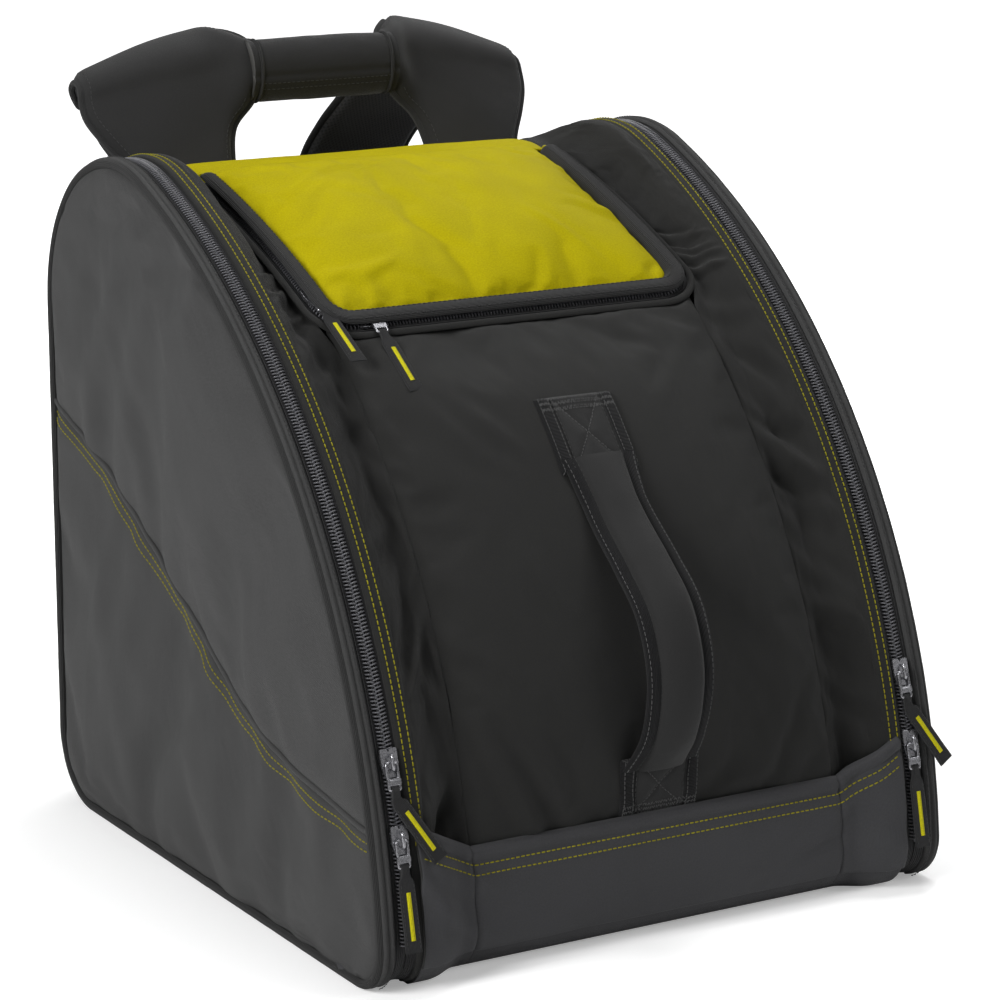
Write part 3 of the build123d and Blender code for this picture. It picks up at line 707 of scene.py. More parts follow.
def make_front_panel():
    x = column(-PANEL_HALF + 0.2, PANEL_HALF - 0.2, 72)[:, None]
    f = column(0, 1, 84)[None]
    low = t_at_height(BAND_Z[0] - 3)
    high = t_from_zip(-8.6 + lid_corner_rise(x, LID_ZIP_X - LID_CORNER, LID_CORNER + 8.2))
    points = body_at(x, low + (high - low) * f)
    lift = 9.0 * (1 - (x / PANEL_HALF) ** 2) * (1 - (2 * f - 1) ** 2)
    n = grid_normals(points)
    n = n * np.sign(-n[36, 40, 1])
    points = points + n * lift[..., None]
    v = 260.0 * f
    extra = crease_field(x, v, 9, 201, (-115, -50), (10, 200), (-75, -25), (22, 50), (7, 12), (1.4, 3.0))
    extra += crease_field(x, v, 6, 202, (60, 112), (10, 240), (20, 80), (18, 42), (7, 11), (1.0, 2.2))
    extra += crease_field(x, v, 7, 203, (-90, 100), (225, 262), (-25, 25), (18, 40), (6, 9), (0.5, 1.3))
    extra += crease_field(x, v, 6, 204, (-115, 100), (4, 26), (-30, 30), (16, 34), (6, 9), (0.6, 1.5))
    cloth = dict(pressure=2.0, grow=0.012, frames=14)
    look = dict(creases=0.8, cloth=cloth, extra=extra, tuck=3.6)
    made = finish_panel("front_panel_cloth", points, SHELL, (0, -1, 0.5), 2.0, 3, **look)
    return place(made, "bag", "front_panel", slot="shell_fabric")


def gusset_inner(t):
    """Inner edge of the gusset: under the front panel, and further out where it runs beside the lid."""
    start, end = T_ZIP - 0.02, T_HINGE
    step = 1 / (1 + np.exp(-(t - start) / 0.012)) - 1 / (1 + np.exp(-(t - end) / 0.004))
    return PANEL_HALF - 2.6 + 8.8 * step, step


def make_gusset(side):
    name = "right" if side > 0 else "left"
    f = column(0, 1, 32)[:, None]
    band = np.linspace(BAND_Z[0] - 3, BAND_Z[1] - 3, 32)
    t_start, t_end = t_at_height(band)[:, None], t_at_height(band, True, True)[:, None]
    g = column(0, 1, 230)[None]
    t = t_start + (t_end - t_start) * g
    inner, step = gusset_inner(t)
    x = inner + (GUSSET_X + 0.8 - inner) * f
    inside = np.clip((x - inner) / (156 - inner), 0, 1)
    front = np.clip((4.3 - t) / 0.6, 0, 1)
    tuck = 3.4 * np.exp(-(x - inner) / 1.8) * (1 - step)
    valley = -8.5 * np.sin(np.pi * inside**0.85) ** 1.3 * front - tuck
    run = (t - 2) * FRONT_LEN
    slack = np.sin(np.pi * inside) ** 0.7 * front
    ripple = crease_field(
        run, x, 26, 210 + side, (10, 480), (128, 152), (-60, -15), (14, 32), (4.5, 9), (2.8, 6.0)
    )
    ripple += crease_field(
        run, x, 10, 220 + side, (10, 480), (130, 150), (-8, 8), (24, 60), (5, 9), (1.6, 3.4)
    )
    points = body_at(x * side, t, valley + ripple * slack)
    made = grid(f"{name}_gusset_cloth", points, SHELL, (0, -0.6, 0.8))
    pin = np.zeros(x.shape)
    pin[:2], pin[-1], pin[:, 0], pin[:, -1] = 1, 1, 1, 1
    pin[x > 155] = 1
    simulate(made, pin.ravel(), pressure=-0.3, grow=0.012, frames=9, bend=0.5)
    smooth_sub(made, 1)
    thicken(made, 1.4, LINING)
    return place(made, "bag", f"{name}_gusset", slot="shell_fabric")


def make_base():
    x = column(-GUSSET_X + 0.3, GUSSET_X - 0.3, 116)
    x = x[np.abs(np.abs(x) - PANEL_HALF) > 3.4]
    near_seam = PANEL_HALF + np.array([-3.0, -1.6, -0.7, 0, 0.7, 1.6, 3.0])
    x = np.sort(np.r_[x, near_seam, -near_seam])[:, None]
    z = np.interp(np.abs(x), [0, PANEL_HALF, GUSSET_X], [BAND_Z[0], *BAND_Z])
    front, rear = t_at_height(z), t_at_height(z, True, True) - 7
    g = column(0, 1, 190)[None]
    g = g - 0.085 * np.sin(2 * np.pi * g)
    t = front + (rear - front) * g
    points = body_at(x, t)
    run = np.linalg.norm(np.diff(points, axis=1), axis=2)
    s = np.concatenate([np.zeros((len(x), 1)), np.cumsum(run, 1)], 1)
    d = np.minimum(s, s[:, -1:] - s)
    hem = 3.9 * np.sqrt(np.clip(1 - ((d - 2.9) / 3.0) ** 2, 0, 1)) - 1.1 * np.exp(-(((d - 6.6) / 1.0) ** 2))
    body = 1.9 * (1 - np.exp(-np.clip(d - 6.0, 0, None) / 3.0)) - 1.6 * np.exp(-d / 0.7)
    seam = -2.8 * np.exp(-(((np.abs(x) - PANEL_HALF) / 1.1) ** 2)) * np.clip((z + 34 - d) / 20, 0, 1)
    seam = seam * np.clip(d / 2.5, 0.2, 1)
    wall = np.clip(points[..., 2] / 26 - 0.2, 0, 1) * np.clip((d - 8) / 10, 0, 1)
    dents = crease_field(x, d, 12, 230, (-150, 150), (16, 60), (-40, 40), (14, 40))
    soft = folds(points, 120, 5) * 1.5 + dents
    off = hem + body + seam + soft * wall * 0.8
    points = body_at(x, t, np.where(points[..., 2] < 16, np.minimum(off, 0.0) * 0.3, off))
    points[..., 2] = np.maximum(points[..., 2], 0.25)
    parts = [grid("base_cloth_tray", points, BASE, (0, -1, 0))]
    for side in (-1, 1):
        x2 = side * column(GUSSET_X - 2, 184.3, 12)[:, None]
        t2 = 1.62 + (-0.5 - 1.62) * column(0, 1, 70)[None]
        parts.append(grid("base_rim", body_at(x2, t2, -2.2), BASE, (0, 0, -1)))
    for part in parts:
        thicken(smooth_sub(part, 1), 2.0, LINING)
    made = [place(parts[0], "bag", "base_tray", slot="base_fabric")]
    for part, name in zip(parts[1:], ("left_base_rim", "right_base_rim")):
        part.name = name
        made.append(place(part, "bag", slot="base_fabric"))
    return made


def make_rear_panels():
    x = column(-PANEL_HALF + 0.4, PANEL_HALF - 0.4, 48)[:, None]
    t = (T_HINGE + 0.004) + (4.62 - T_HINGE) * column(0, 1, 22)[None]
    top = body_at(x, t)
    made = finish_panel("rear_top_cloth", top, YELLOW, (0, 0.3, 1), 1.2, 21, 0.35, free=("v0",))
    place(made, "bag", "rear_top_panel", slot="lid_fabric")
    t = 4.63 + (t_at_height(BAND_Z[0] + 1, True, True) - 4.63) * column(0, 1, 70)[None]
    back = body_at(x, t)
    ribs = 5.0 * np.abs(np.sin(np.clip((np.abs(x) + 12) / 136 * 3 * np.pi, 0, 9.42))) ** 0.6
    ribs = ribs * np.clip(np.sin(np.pi * column(0, 1, 70)[None]) * 6, 0, 1)
    back = back + np.array([0, 1.0, 0]) * ribs[..., None]
    made = finish_panel("back_panel_cloth", back, FOAM, (0, 1, 0), 0.8, 22, 0.3)
    return place(made, "bag", "back_panel", slot="shell_fabric")


def make_lid():
    inset = 5.4
    half, corner = LID_ZIP_X - inset, LID_CORNER - inset
    f = column(-1, 1, 76)[:, None]
    front, rear = inset, LID_DEPTH - 0.2
    d = front + (rear - front) * column(0, 1, 64)[None] ** 1.04
    near = np.clip(corner - (d - front), 0, corner)
    x = f * (half - (corner - np.sqrt(np.maximum(corner**2 - near**2 * 0.98, 0))))
    points = body_at(x, t_from_zip(d + 0 * x))
    lift = 5.5 * (1 - np.abs(f) ** 3) * (1 - np.abs(2 * (d - front) / (rear - front) - 1) ** 4)
    points = points + np.array([0, -0.33, 0.94]) * lift[..., None]
    extra = crease_field(x, d, 10, 240, (-100, 100), (14, 60), (50, 130), (14, 34), (5, 9), (0.5, 1.3))
    extra += crease_field(x, d, 8, 241, (-110, -60), (20, 140), (-20, 60), (14, 40), (5, 9), (0.5, 1.4))
    extra += crease_field(x, d, 8, 242, (-80, 110), (60, 150), (-30, 50), (20, 50), (7, 12), (0.5, 1.4))
    cloth = dict(pressure=2.4, grow=0.022, frames=16, bend=0.5)
    look = dict(creases=0.7, cloth=cloth, free=("v1",), reach=7.0, extra=extra)
    made = finish_panel("lid_cloth", points, YELLOW, (0, -0.3, 1), 4.6, 31, **look)
    return place(made, "lid", "lid_panel", slot="lid_fabric")


# ---------------------------------------------------------------- zips


class Track:
    """A zip's path with its sideways and outward directions, read at any distance along it."""

    def __init__(self, centre, side, normal):
        self.c, self.side, self.n = (np.asarray(a, float) for a in (centre, side, normal))
        self.s = running_length(self.c)
        self.length = self.s[-1]

    def _read(self, s, data):
        return np.stack([np.interp(s, self.s, data[:, i]) for i in range(3)], -1)

    def at(self, s, v, w):
        s, v, w = np.broadcast_arrays(np.asarray(s, float), v, w)
        across = v[..., None] * self._read(s, self.side)
        return self._read(s, self.c) + across + w[..., None] * self._read(s, self.n)

    def strip(self, name, v, w, material, step=4.0, ends=(0, None), outward=(0, -0.7, 0.7), sink=0.0):
        """Sheet along the track whose section is the (v, w) polyline, sunk by a share at both ends."""
        end = self.length if ends[1] is None else ends[1]
        s = np.linspace(ends[0], end, max(3, int((end - ends[0]) / step)))
        low = 1 - sink * (np.exp(-(((s - s[0]) / 14) ** 2)) + np.exp(-(((s - s[-1]) / 14) ** 2)))
        points = self.at(s[:, None], np.asarray(v, float)[None], low[:, None] * np.asarray(w, float)[None])
        return grid(name, points, material, outward)

    def above(self, height):
        """Distances along the track between which it stays above a height."""
        s = self.s[self.c[:, 2] > height]
        return s[0], s[-1]

    def normals(self, s):
        return unit(self._read(s, self.n))


def door_track(side):
    """The side pocket's zip, from the front of the base over the top and down the rear."""
    t = np.concatenate([np.linspace(1.15, 2, 30), np.linspace(2, 5, 260)[1:], np.linspace(5, 6.85, 80)[1:]])
    p, n = outline_at(False, t)
    c = np.concatenate([np.full((len(t), 1), side * ZIP_X), p - n * ZIP_INSET], 1)
    normal = np.concatenate([np.zeros((len(t), 1)), n], 1)
    return Track(c, np.tile([side, 0.0, 0.0], (len(t), 1)), normal)


def lid_track():
    """The lid's zip, up from the left rear, across the front and back to the right rear."""
    r = LID_CORNER
    depth = LID_DEPTH - 7.0
    up = np.linspace(depth, r, 60)
    turn = np.linspace(0, math.pi / 2, 14)[1:-1]
    across = np.linspace(-(LID_ZIP_X - r), LID_ZIP_X - r, 70)
    left = np.stack([np.full(60, -LID_ZIP_X), up], 1)
    corner = np.stack([-(LID_ZIP_X - r) - r * np.cos(turn), r - r * np.sin(turn)], 1)
    front = np.stack([across, 0 * across], 1)
    plan = np.vstack([left, corner, front, (corner * [-1, 1])[::-1], (left * [-1, 1])[::-1]])
    along = unit(np.gradient(plan, axis=0))
    out = np.stack([along[:, 1], -along[:, 0]], 1)
    t = t_from_zip(plan[:, 1])
    c = body_at(plan[:, 0], t, -ZIP_INSET)
    n = unit(body_at(plan[:, 0], t, 1.0) - body_at(plan[:, 0], t, 0.0))
    slope = unit(np.cross(n, [1.0, 0, 0]))
    slope = slope * np.sign(-slope[:, 1:2])
    side = unit(out[:, :1] * np.array([1.0, 0, 0]) - out[:, 1:] * slope)
    return Track(c, side, n)


def coil(name, track, hand, body, nodes, pitch=2.1, phase=0.0, ends=(0, None)):
    """One half of a nylon coil: a flattened helix whose heads reach across the zip's middle."""
    end = track.length if ends[1] is None else ends[1]
    turns = int((end - ends[0]) / pitch)
    steps = 9
    a = np.arange(turns * steps + 1) / steps
    s = ends[0] + (a + phase) * pitch
    keep = (s >= ends[0]) & (s <= end)
    a, s = a[keep], s[keep]
    angle = a * 2 * math.pi
    v = hand * (1.75 - 2.15 * np.cos(angle))
    w = 1.25 * np.sin(angle)
    path = track.at(s, v, w)
    ref = track.at(s + 0.5, v, w) - track.at(s - 0.5, v, w)
    tangent = unit(np.gradient(path, axis=0))
    side = unit(np.cross(tangent, ref))
    up = np.cross(tangent, side)
    ring_a = np.linspace(0, 2 * math.pi, 6, endpoint=False)
    ring = side[:, None] * np.cos(ring_a)[None, :, None] + up[:, None] * np.sin(ring_a)[None, :, None]
    head = 0.50 + 0.12 * (np.cos(angle) > 0.6)
    points = path[:, None] + ring * head[:, None, None]
    faces = capped_faces(len(path), 6)
    uv = np.stack([np.repeat(s, 6), np.tile(ring_a, len(path))], 1)
    made = make_object(name, points.reshape(-1, 3), faces, uv, COIL)
    return place(made, body, *nodes, slot="coil")


def tape_and_thread(name, track, hand, body, v_out, ends=(0, None)):
    """Woven tape under the coil and the thread that sews the coil to it. The tape runs on past the coil."""
    v = hand * np.array([0.35, 1.4, 2.2, 3.2, 4.6, 6.0, v_out])
    w = np.array([-0.6, -0.55, -0.5, -0.3, 0.1, 0.25, 0.1])
    made = track.strip(name, v, w, TAPE)
    thicken(made, 0.8)
    place(made, body, slot="coil")
    end = track.length if ends[1] is None else ends[1]
    s = np.linspace(ends[0] + 1, end - 1, int((end - ends[0]) / 4))
    rows = [(track.at(s, hand * 1.75, 1.3), track.normals(s))]
    stitches(f"{name}_sewing", rows, DARK, body, length=2.0, gap=1.2, radius=0.3)


def make_door_zips():
    for side, name in ((-1, "left"), (1, "right")):
        track = door_track(side)
        ends = track.above(ZIP_END_Z)
        coil(f"{name}_coil_inner", track, -1, "bag", [f"{name}_body_zip_half"], phase=0.5, ends=ends)
        coil(f"{name}_coil_outer", track, 1, f"{name}_door", [f"{name}_door_zip_half"], ends=ends)
        tape_and_thread(f"{name}_tape_inner", track, -1, "bag", 8.6, ends)
        tape_and_thread(f"{name}_tape_outer", track, 1, f"{name}_door", 8.3, ends)


def make_lid_zip():
    track = lid_track()
    coil("lid_coil_body", track, 1, "bag", ["lid_zip_body_half"], phase=0.5)
    coil("lid_coil_lid", track, -1, "lid", ["lid_zip_lid_half"])
    tape_and_thread("lid_tape_body", track, 1, "bag", 8.4)
    tape_and_thread("lid_tape_lid", track, -1, "lid", 7.6)
    v = np.array([-7.8, -7.0, -5.8, -4.0, -1.5, 1.0, 3.0, 4.3, 4.8, 4.7])
    w = np.array([0.6, 3.4, 5.7, 7.1, 7.8, 7.7, 7.1, 6.2, 5.4, 4.9])
    flap = track.strip("lid_rain_flap", v, w, BINDING)
    thicken(smooth_sub(flap, 1), 0.7)
    place(flap, "lid", slot="shell_fabric")
    s = np.linspace(1, track.length - 1, 220)
    rows = [(track.at(s, v, w), track.normals(s)) for v, w in ((-4.3, 7.0), (2.4, 7.35))]
    stitches("lid_flap_stitches", rows, DARK, "lid", length=2.4, gap=1.0, radius=0.3)
    v = np.array([8.0, 7.4, 8.0, 9.6, 11.4, 12.6])
    w = np.array([-0.6, 0.9, 2.3, 2.9, 2.4, 1.2])
    lip = track.strip("lid_opening_lip", v, w, SHELL)
    thicken(smooth_sub(lip, 1), 0.8)
    place(lip, "bag", slot="shell_fabric")
    loops = []
    for end, s in (("left", 0.0), ("right", track.length)):
        base, n = track.at(s, 0.0, 0.0), track.normals(np.array(s))
        back = unit(track.at(2.0 if s == 0 else s - 2.0, 0.0, 0.0) - base) * -1
        a = np.linspace(0, 2 * math.pi, 26, endpoint=False)
        ring = base + np.outer(3.5 * np.cos(a) + 3.5, back) + np.outer(2.6 * np.sin(a), n) + n * 2.0
        loops.append(tube(f"{end}_end_loop", ring, 1.7, STRIPE, 8, True, 0.45))
    place(join("lid_zip_end_loops", loops), "bag", "lid_zip_end_tabs", slot="webbing")


# ---------------------------------------------------------------- side doors

# the S seam across a side pocket, as (y, z) points
DOOR_SEAM = np.array(
    [(-219, 91), (-163, 97), (-115, 104), (-66, 120), (-15, 149), (37, 179), (120, 226), (199, 256)]
)


def side_edge(t_from, t_to, count, inset=4.2):
    p, n = outline_at(False, np.linspace(t_from, t_to, count))
    return p - n * inset


def lay_flat(made):
    """Gives a side pocket's cloth its own copy of its mesh."""
    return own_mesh(made)


def door_outlines():
    """The S seam and the flat (y, z) grids of a side pocket's cloth above and below it."""
    t_front = t_at_height(DOOR_SEAM[0, 1], False)
    t_rear = t_at_height(DOOR_SEAM[-1, 1], False, True)
    nu, nv = 62, 48
    front_pt, rear_pt = side_edge(t_front, t_front + 0.01, 2)[0], side_edge(t_rear, t_rear + 0.01, 2)[0]
    seam = spline(np.vstack([front_pt, DOOR_SEAM[1:-1], rear_pt]), nu)
    upper = coons(seam, side_edge(3.96, 4.62, nu), side_edge(t_front, 3.96, nv), side_edge(t_rear, 4.62, nv))
    bottom = side_edge(1.45, -0.45, nu)
    low = nv - 12
    lower = coons(bottom, seam, side_edge(1.45, t_front, low), side_edge(6.55, t_rear, low))
    return seam, upper, lower


def on_side(side, flat):
    """(y, z) points put on the plane that a side panel bulges from."""
    return np.concatenate([np.full(flat.shape[:-1] + (1,), side * SIDE_X), flat], -1)


def make_door_cloth(side, name, upper, lower):
    made = []
    for key, flat, heights, seed, slot in (
        ("side_upper", upper, (80, 380), 41, "shell_fabric"),
        ("side_lower", lower, (20, 150), 43, "base_fabric"),
    ):
        y, z = flat[..., 0], flat[..., 1]
        slow = crease_field(
            y, z, 11, seed + 300, (-170, 190), heights, (62, 118), (60, 140), (13, 24), (1.4, 3.4)
        )
        cloth = dict(pressure=0.9, grow=0.012, frames=16, bend=1.5)
        look = dict(creases=1.1, cloth=cloth, thick=2.2, extra=slow)
        points = on_side(side, flat)
        # The side cloth colour is the shell cloth painted lighter: painted light.
        panel = finish_panel(f"{name}_{key}_cloth", points, SHELL_LIT, (side, 0, 0), 2.2, seed + side, **look)
        made.append(place(panel, f"{name}_door", f"{name}_{key}", slot=slot))
    return made


def make_door_edges(side, name):
    """The piping round the pocket and the folded cloth on both sides of its zip, with their stitches."""
    body = f"{name}_door"
    t = np.linspace(0, 7, 420, endpoint=False)
    p, n = outline_at(False, t)
    ring = np.concatenate([np.full((len(t), 1), side * (HALF_WIDTH - 2.5)), p - n * 2.5], 1)
    wobble = 2.75 + 0.14 * folds(ring, 22, 61 + side)
    piping = tube(f"{name}_edge_piping", ring, wobble, BINDING, 12, True)
    place(piping, body, f"{name}_piping", slot="piping")
    track = door_track(side)
    v = np.array([7.4, 7.9, 8.9, 10.0, 10.9, 11.5, 12.2, 13.2, 14.2, 15.2, 15.8])
    w = np.array([0.5, 1.9, 2.9, 2.7, 1.9, 1.2, 2.0, 2.9, 2.8, 1.9, 0.4])
    rim = track.strip(f"{name}_door_gusset", v, w, SHELL_LIT, sink=0.35)
    thicken(smooth_sub(rim, 1), 0.9)
    place(rim, body, f"{name}_door_rim", slot="shell_fabric")
    v = np.array([-5.9, -5.7, -6.4, -7.8, -9.4, -12.0, -14.6, -16.4, -17.4])
    w = np.array([0.3, 1.3, 2.2, 2.8, 2.9, 2.7, 2.3, 1.5, 0.2])
    lip = track.strip(f"{name}_gusset_lip", v, w, SHELL, sink=0.35)
    thicken(smooth_sub(lip, 1), 0.8)
    place(lip, "bag", slot="shell_fabric")
    s = np.linspace(4, track.length - 4, 300)
    rows = [(track.at(s, 9.4, 2.95), track.normals(s))]
    stitches(f"{name}_gusset_stitches", rows, DARK, body, length=2.4, radius=0.3)
    low, high = track.above(BAND_Z[1] - 12)
    s = np.linspace(low, high, 400)
    rows = [(track.at(s, v0, w0), track.normals(s)) for v0, w0 in ((-9.2, 2.95), (-14.0, 2.45))]
    stitches(f"{name}_gusset_lime_stitches", rows, LIME, "bag")


def make_door_seam(side, name, seam, cloth):
    """The double lime row below the S seam and the folded cloth along it."""
    body = f"{name}_door"
    skin = Surface(*cloth)
    along = unit(np.gradient(seam, axis=0))
    below = np.stack([along[:, 1], -along[:, 0]], 1)
    rows = []
    for drop in (4.6, 8.8):
        path = resample(on_side(side, seam + below * drop), 3.0)
        rows.append(skin.along(path, (side, 0, 0)))
    made = [stitches(f"{name}_seam_stitches", rows, LIME, body)]
    path, n = skin.along(resample(on_side(side, seam - below * 1.6), 5.0), (side, 0, 0))
    fold = tube(f"{name}_seam_fold", path + n * 0.4, 2.1 + 0.15 * folds(path, 30, 5), SHELL_LIT, 10, flat=0.8)
    made.append(place(fold, body, slot="shell_fabric"))
    return made


def make_door(side):
    name = "right" if side > 0 else "left"
    seam, upper, lower = door_outlines()
    cloth = make_door_cloth(side, name, upper, lower)
    make_door_edges(side, name)
    for piece in cloth + make_door_seam(side, name, seam, cloth):
        lay_flat(piece)


# ---------------------------------------------------------------- lime stitching on the body


def base_stitches(base):
    """The double row of lime thread below the base's folded top edge, round the front and the back."""
    skin = Surface(base)
    rows = []
    for drop in (9.0, 14.6):
        for rear in (False, True):
            x = np.linspace(-GUSSET_X + 3, GUSSET_X - 3, 150)
            z = np.interp(np.abs(x), [0, PANEL_HALF, GUSSET_X], [BAND_Z[0], *BAND_Z]) - drop
            t = t_at_height(z, True, rear)
            path = body_at(x, t)
            n = unit(body_at(x, t, 1.0) - path)
            rows.append(skin.along(path, n, 12.0))
    stitches("base_lime_stitches", rows, LIME, "bag")


# ---------------------------------------------------------------- zip pulls


def pull_frame(name):
    """Origin on the chain and the three directions of a pull: down the slope, across it, outwards."""
    swing, tab = JOINTS[f"{name}_puller_swing"], JOINTS[f"{name}_tab_swing"]
    pivot = joint_at(swing["name"])
    across = -unit(tab["axis"])
    if name == "lid_front":
        out = unit(swing["axis"])
        origin = pivot - 3.8 * across - 4.1 * out
    else:
        arc = joint_at(f"{name}_slide")
        out = unit((pivot - arc) * [0, 1, 1])
        origin = pivot - 4.1 * out
    return origin, np.cross(across, out), across, out


def solid_from_outline(name, outline, low, high, material, origin, axes, bevel=0.35):
    """Plate with a bevelled edge: an outline in the first two axes, between two heights."""
    outline = np.asarray(outline, float)
    n = len(outline)
    verts = [origin + p[0] * axes[0] + p[1] * axes[1] + h * axes[2] for h in (low, high) for p in outline]
    faces = [list(range(n))[::-1], [n + i for i in range(n)]]
    faces += [[i, (i + 1) % n, n + (i + 1) % n, n + i] for i in range(n)]
    made = make_object(name, verts, faces, np.zeros((2 * n, 2)), material, smooth=False)
    mod = made.modifiers.new("edge", "BEVEL")
    mod.width, mod.segments, mod.limit_method = bevel * MM, 2, "ANGLE"
    with bpy.context.temp_override(object=made, active_object=made):
        bpy.ops.object.modifier_apply(modifier="edge")
    return made


def rounded(points, radius, steps=5):
    """Polygon with its corners rounded."""
    points = np.asarray(points, float)
    out = []
    for i, p in enumerate(points):
        a, b = unit(points[i - 1] - p), unit(points[(i + 1) % len(points)] - p)
        for f in np.linspace(0, 1, steps):
            q = (1 - f) ** 2 * a + f**2 * b
            out.append(p + q * radius)
    return np.array(out)


def make_pull(name):
    origin, down, across, out = pull_frame(name)
    sideways = name == "lid_front"
    along, wide = (across, -down) if sideways else (down, across)
    axes = (along, wide, out)
    shield = [(-8, -5.2), (1.5, -5.2), (8, -3.6), (8, 3.6), (1.5, 5.2), (-8, 5.2)]
    notch = [(-8, 1.0), (-5.6, 0), (-8, -1.0)]
    shape = rounded(shield + notch, 1.0, 4)
    parts = [
        solid_from_outline("plate", shape, 1.6, 3.0, METAL, origin, axes),
        solid_from_outline("plate", shape, -3.0, -1.6, METAL, origin, axes),
    ]
    for edge in (-1, 1):
        wall = np.array([(-5, edge * 4.0), (1.5, edge * 4.0), (1.5, edge * 5.2), (-5, edge * 5.2)][::edge])
        parts.append(solid_from_outline("wall", wall, 0.7, 1.8, METAL, origin, axes, 0.2))
        parts.append(solid_from_outline("wall", wall, -1.8, -0.7, METAL, origin, axes, 0.2))
    arch = [(-4.0, 2.8), (-4.0, 4.9), (-3.3, 5.9), (-2.0, 6.2)]
    arch += [(-a, h) for a, h in arch[::-1]]
    arch = np.array([origin + a * along + h * out for a, h in spline(arch, 26)])
    parts.append(tube("arch", arch, 0.62, METAL, 8, flat=1.9))
    slider = join(f"{name}_slider_metal", parts)
    place(slider, f"{name}_slider", f"{name}_slider", slot="metal")
    tab_pin = joint_at(f"{name}_tab_swing")
    bar = tab_pin - 15.0 * down
    axes = (down, across, out)
    ring = rounded([(0, -3.35), (9.6, -3.35), (9.6, 3.35), (0, 3.35)], 1.8, 6)
    parts = [tube("bail", [bar + a * down + b * across for a, b in ring], 0.85, METAL, 10, True)]
    plate = rounded([(8.4, -4.2), (12.4, -4.2), (12.4, 4.2), (8.4, 4.2)], 0.9, 4)
    parts.append(solid_from_outline("plate", plate, -0.8, 0.8, METAL, bar, axes, 0.3))
    ring = rounded([(11.2, -3.4), (15.0, -3.4), (15.0, 3.4), (11.2, 3.4)], 1.0, 5)
    parts.append(tube("eye", [bar + a * down + b * across for a, b in ring], 0.8, METAL, 10, True))
    puller = join(f"{name}_puller_metal", parts)
    place(puller, f"{name}_puller", f"{name}_puller", slot="metal")
    lean = math.radians({"lid_side": -3.0, "lid_front": 2.0}.get(name, 0.0))
    yaw = math.radians(30.0 if name.endswith("upper") else 2.0 if name == "lid_front" else 0.0)
    tilt, lift = down * math.cos(lean) + out * math.sin(lean), out * math.cos(lean) - down * math.sin(lean)

    def at(x, y, w):
        """Ribbon point: beyond 5 mm the ribbon swings by the yaw angle in its own plane."""
        past = np.maximum(np.asarray(x, float) - 5.0, 0)
        near = np.minimum(x, 5.0)
        blend = np.clip(past / 3.0, 0, 1)
        px = near + past * math.cos(yaw) - y * math.sin(yaw) * blend
        py = y * (1 - blend + blend * math.cos(yaw)) + past * math.sin(yaw)
        return tab_pin + px[..., None] * tilt + py[..., None] * across + np.asarray(w)[..., None] * lift

    x = np.r_[-1.9, -1.2, 0, 1.6, 3.4, 5.0, 6.4, 8, 11, 15, 20, 26, 32, 38, 42, 44.5, 46.6, 47.0]
    half = np.interp(x, [0, 4.2, 8, 20, 40, 46, 47], [2.3, 2.4, 4.7, 4.9, 4.9, 5.3, 5.2])
    stops = [-1.9, -1.2, 0, 3, 7, 15, 40, 45, 47]
    thick = np.interp(x, stops, [0.4, 1.5, 2.0, 1.7, 0.95, 1.15, 1.1, 0.85, 0.35])
    a = np.linspace(0, 2 * math.pi, 20, endpoint=False)
    c, s = np.cos(a), np.sin(a)
    y = half[:, None] * (np.sign(c) * np.abs(c) ** 0.35)[None]
    w = thick[:, None] * (np.sign(s) * np.abs(s) ** 0.6)[None]
    points = at(np.repeat(x[:, None], 20, 1), y, w)
    uv = np.stack([np.repeat(x, 20), (y + w).ravel()], 1)
    ribbon = make_object("ribbon", points.reshape(-1, 3), capped_faces(len(x), 20), uv, RIBBON)
    place(smooth_sub(ribbon, 1), f"{name}_tab", f"{name}_tab", slot="pull_fabric")
    ribbon.name = f"{name}_tab_ribbon"
    rows = []
    stripes = []
    for face in (1, -1):
        xs = np.linspace(13.5, 40, 24)
        ys = np.array([-1.35, -1.25, 0, 1.25, 1.35])
        grid_w = face * np.array([1.0, 1.42, 1.46, 1.42, 1.0])
        pts = at(np.repeat(xs[:, None], 5, 1), np.repeat(ys[None], 24, 0), np.repeat(grid_w[None], 24, 0))
        stripes.append(grid("stripe", pts, STRIPE, out * face))
        for edge in (-3.9, 3.9):
            line = at(np.linspace(9, 45, 20), np.full(20, edge), np.full(20, face * 0.95))
            rows.append((line, np.tile(lift * face, (20, 1))))
    stripe = join(f"{name}_tab_stripe", stripes)
    place(stripe, f"{name}_tab", slot="pull_fabric")
    stitches(f"{name}_tab_sewing", rows, DARK, f"{name}_tab", length=1.6, gap=0.8, radius=0.22)


# ---------------------------------------------------------------- carry handle

HANDLE_HALF = (node_box("carry_handle")[1][0] - node_box("carry_handle")[0][0]) / 2
PATCH_HALF = 26.0
PATCH_SPANS = ((249.0, 287.0), (73.0, 105.0))
EDGE_TAPE = 9.0


def front_drop(skin, x, z):
    """Point and normal of the finished front panel at a width and height."""
    t = t_at_height(np.asarray(z, float) + 0 * np.asarray(x))
    path = body_at(x, t)
    n = unit(body_at(x, t, 1.0) - path)
    shape = path.shape
    p, m = skin.along(path.reshape(-1, 3), n.reshape(-1, 3), 30.0)
    return p.reshape(shape), m.reshape(shape)


def blended(made, a, b, start, end, *nodes, slot=None):
    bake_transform(made)
    if nodes:
        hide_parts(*nodes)
    return made


def freeze(made):
    """Applies a piece's modifiers."""
    graph = bpy.context.evaluated_depsgraph_get()
    mesh = bpy.data.meshes.new_from_object(made.evaluated_get(graph))
    made.modifiers.clear()
    made.data = mesh
    return made


def second_material(made, material, chosen):
    """Gives the faces that the mask picks another cloth."""
    made.data.materials.append(material)
    made.data.polygons.foreach_set("material_index", np.asarray(chosen, int).ravel())
    return made


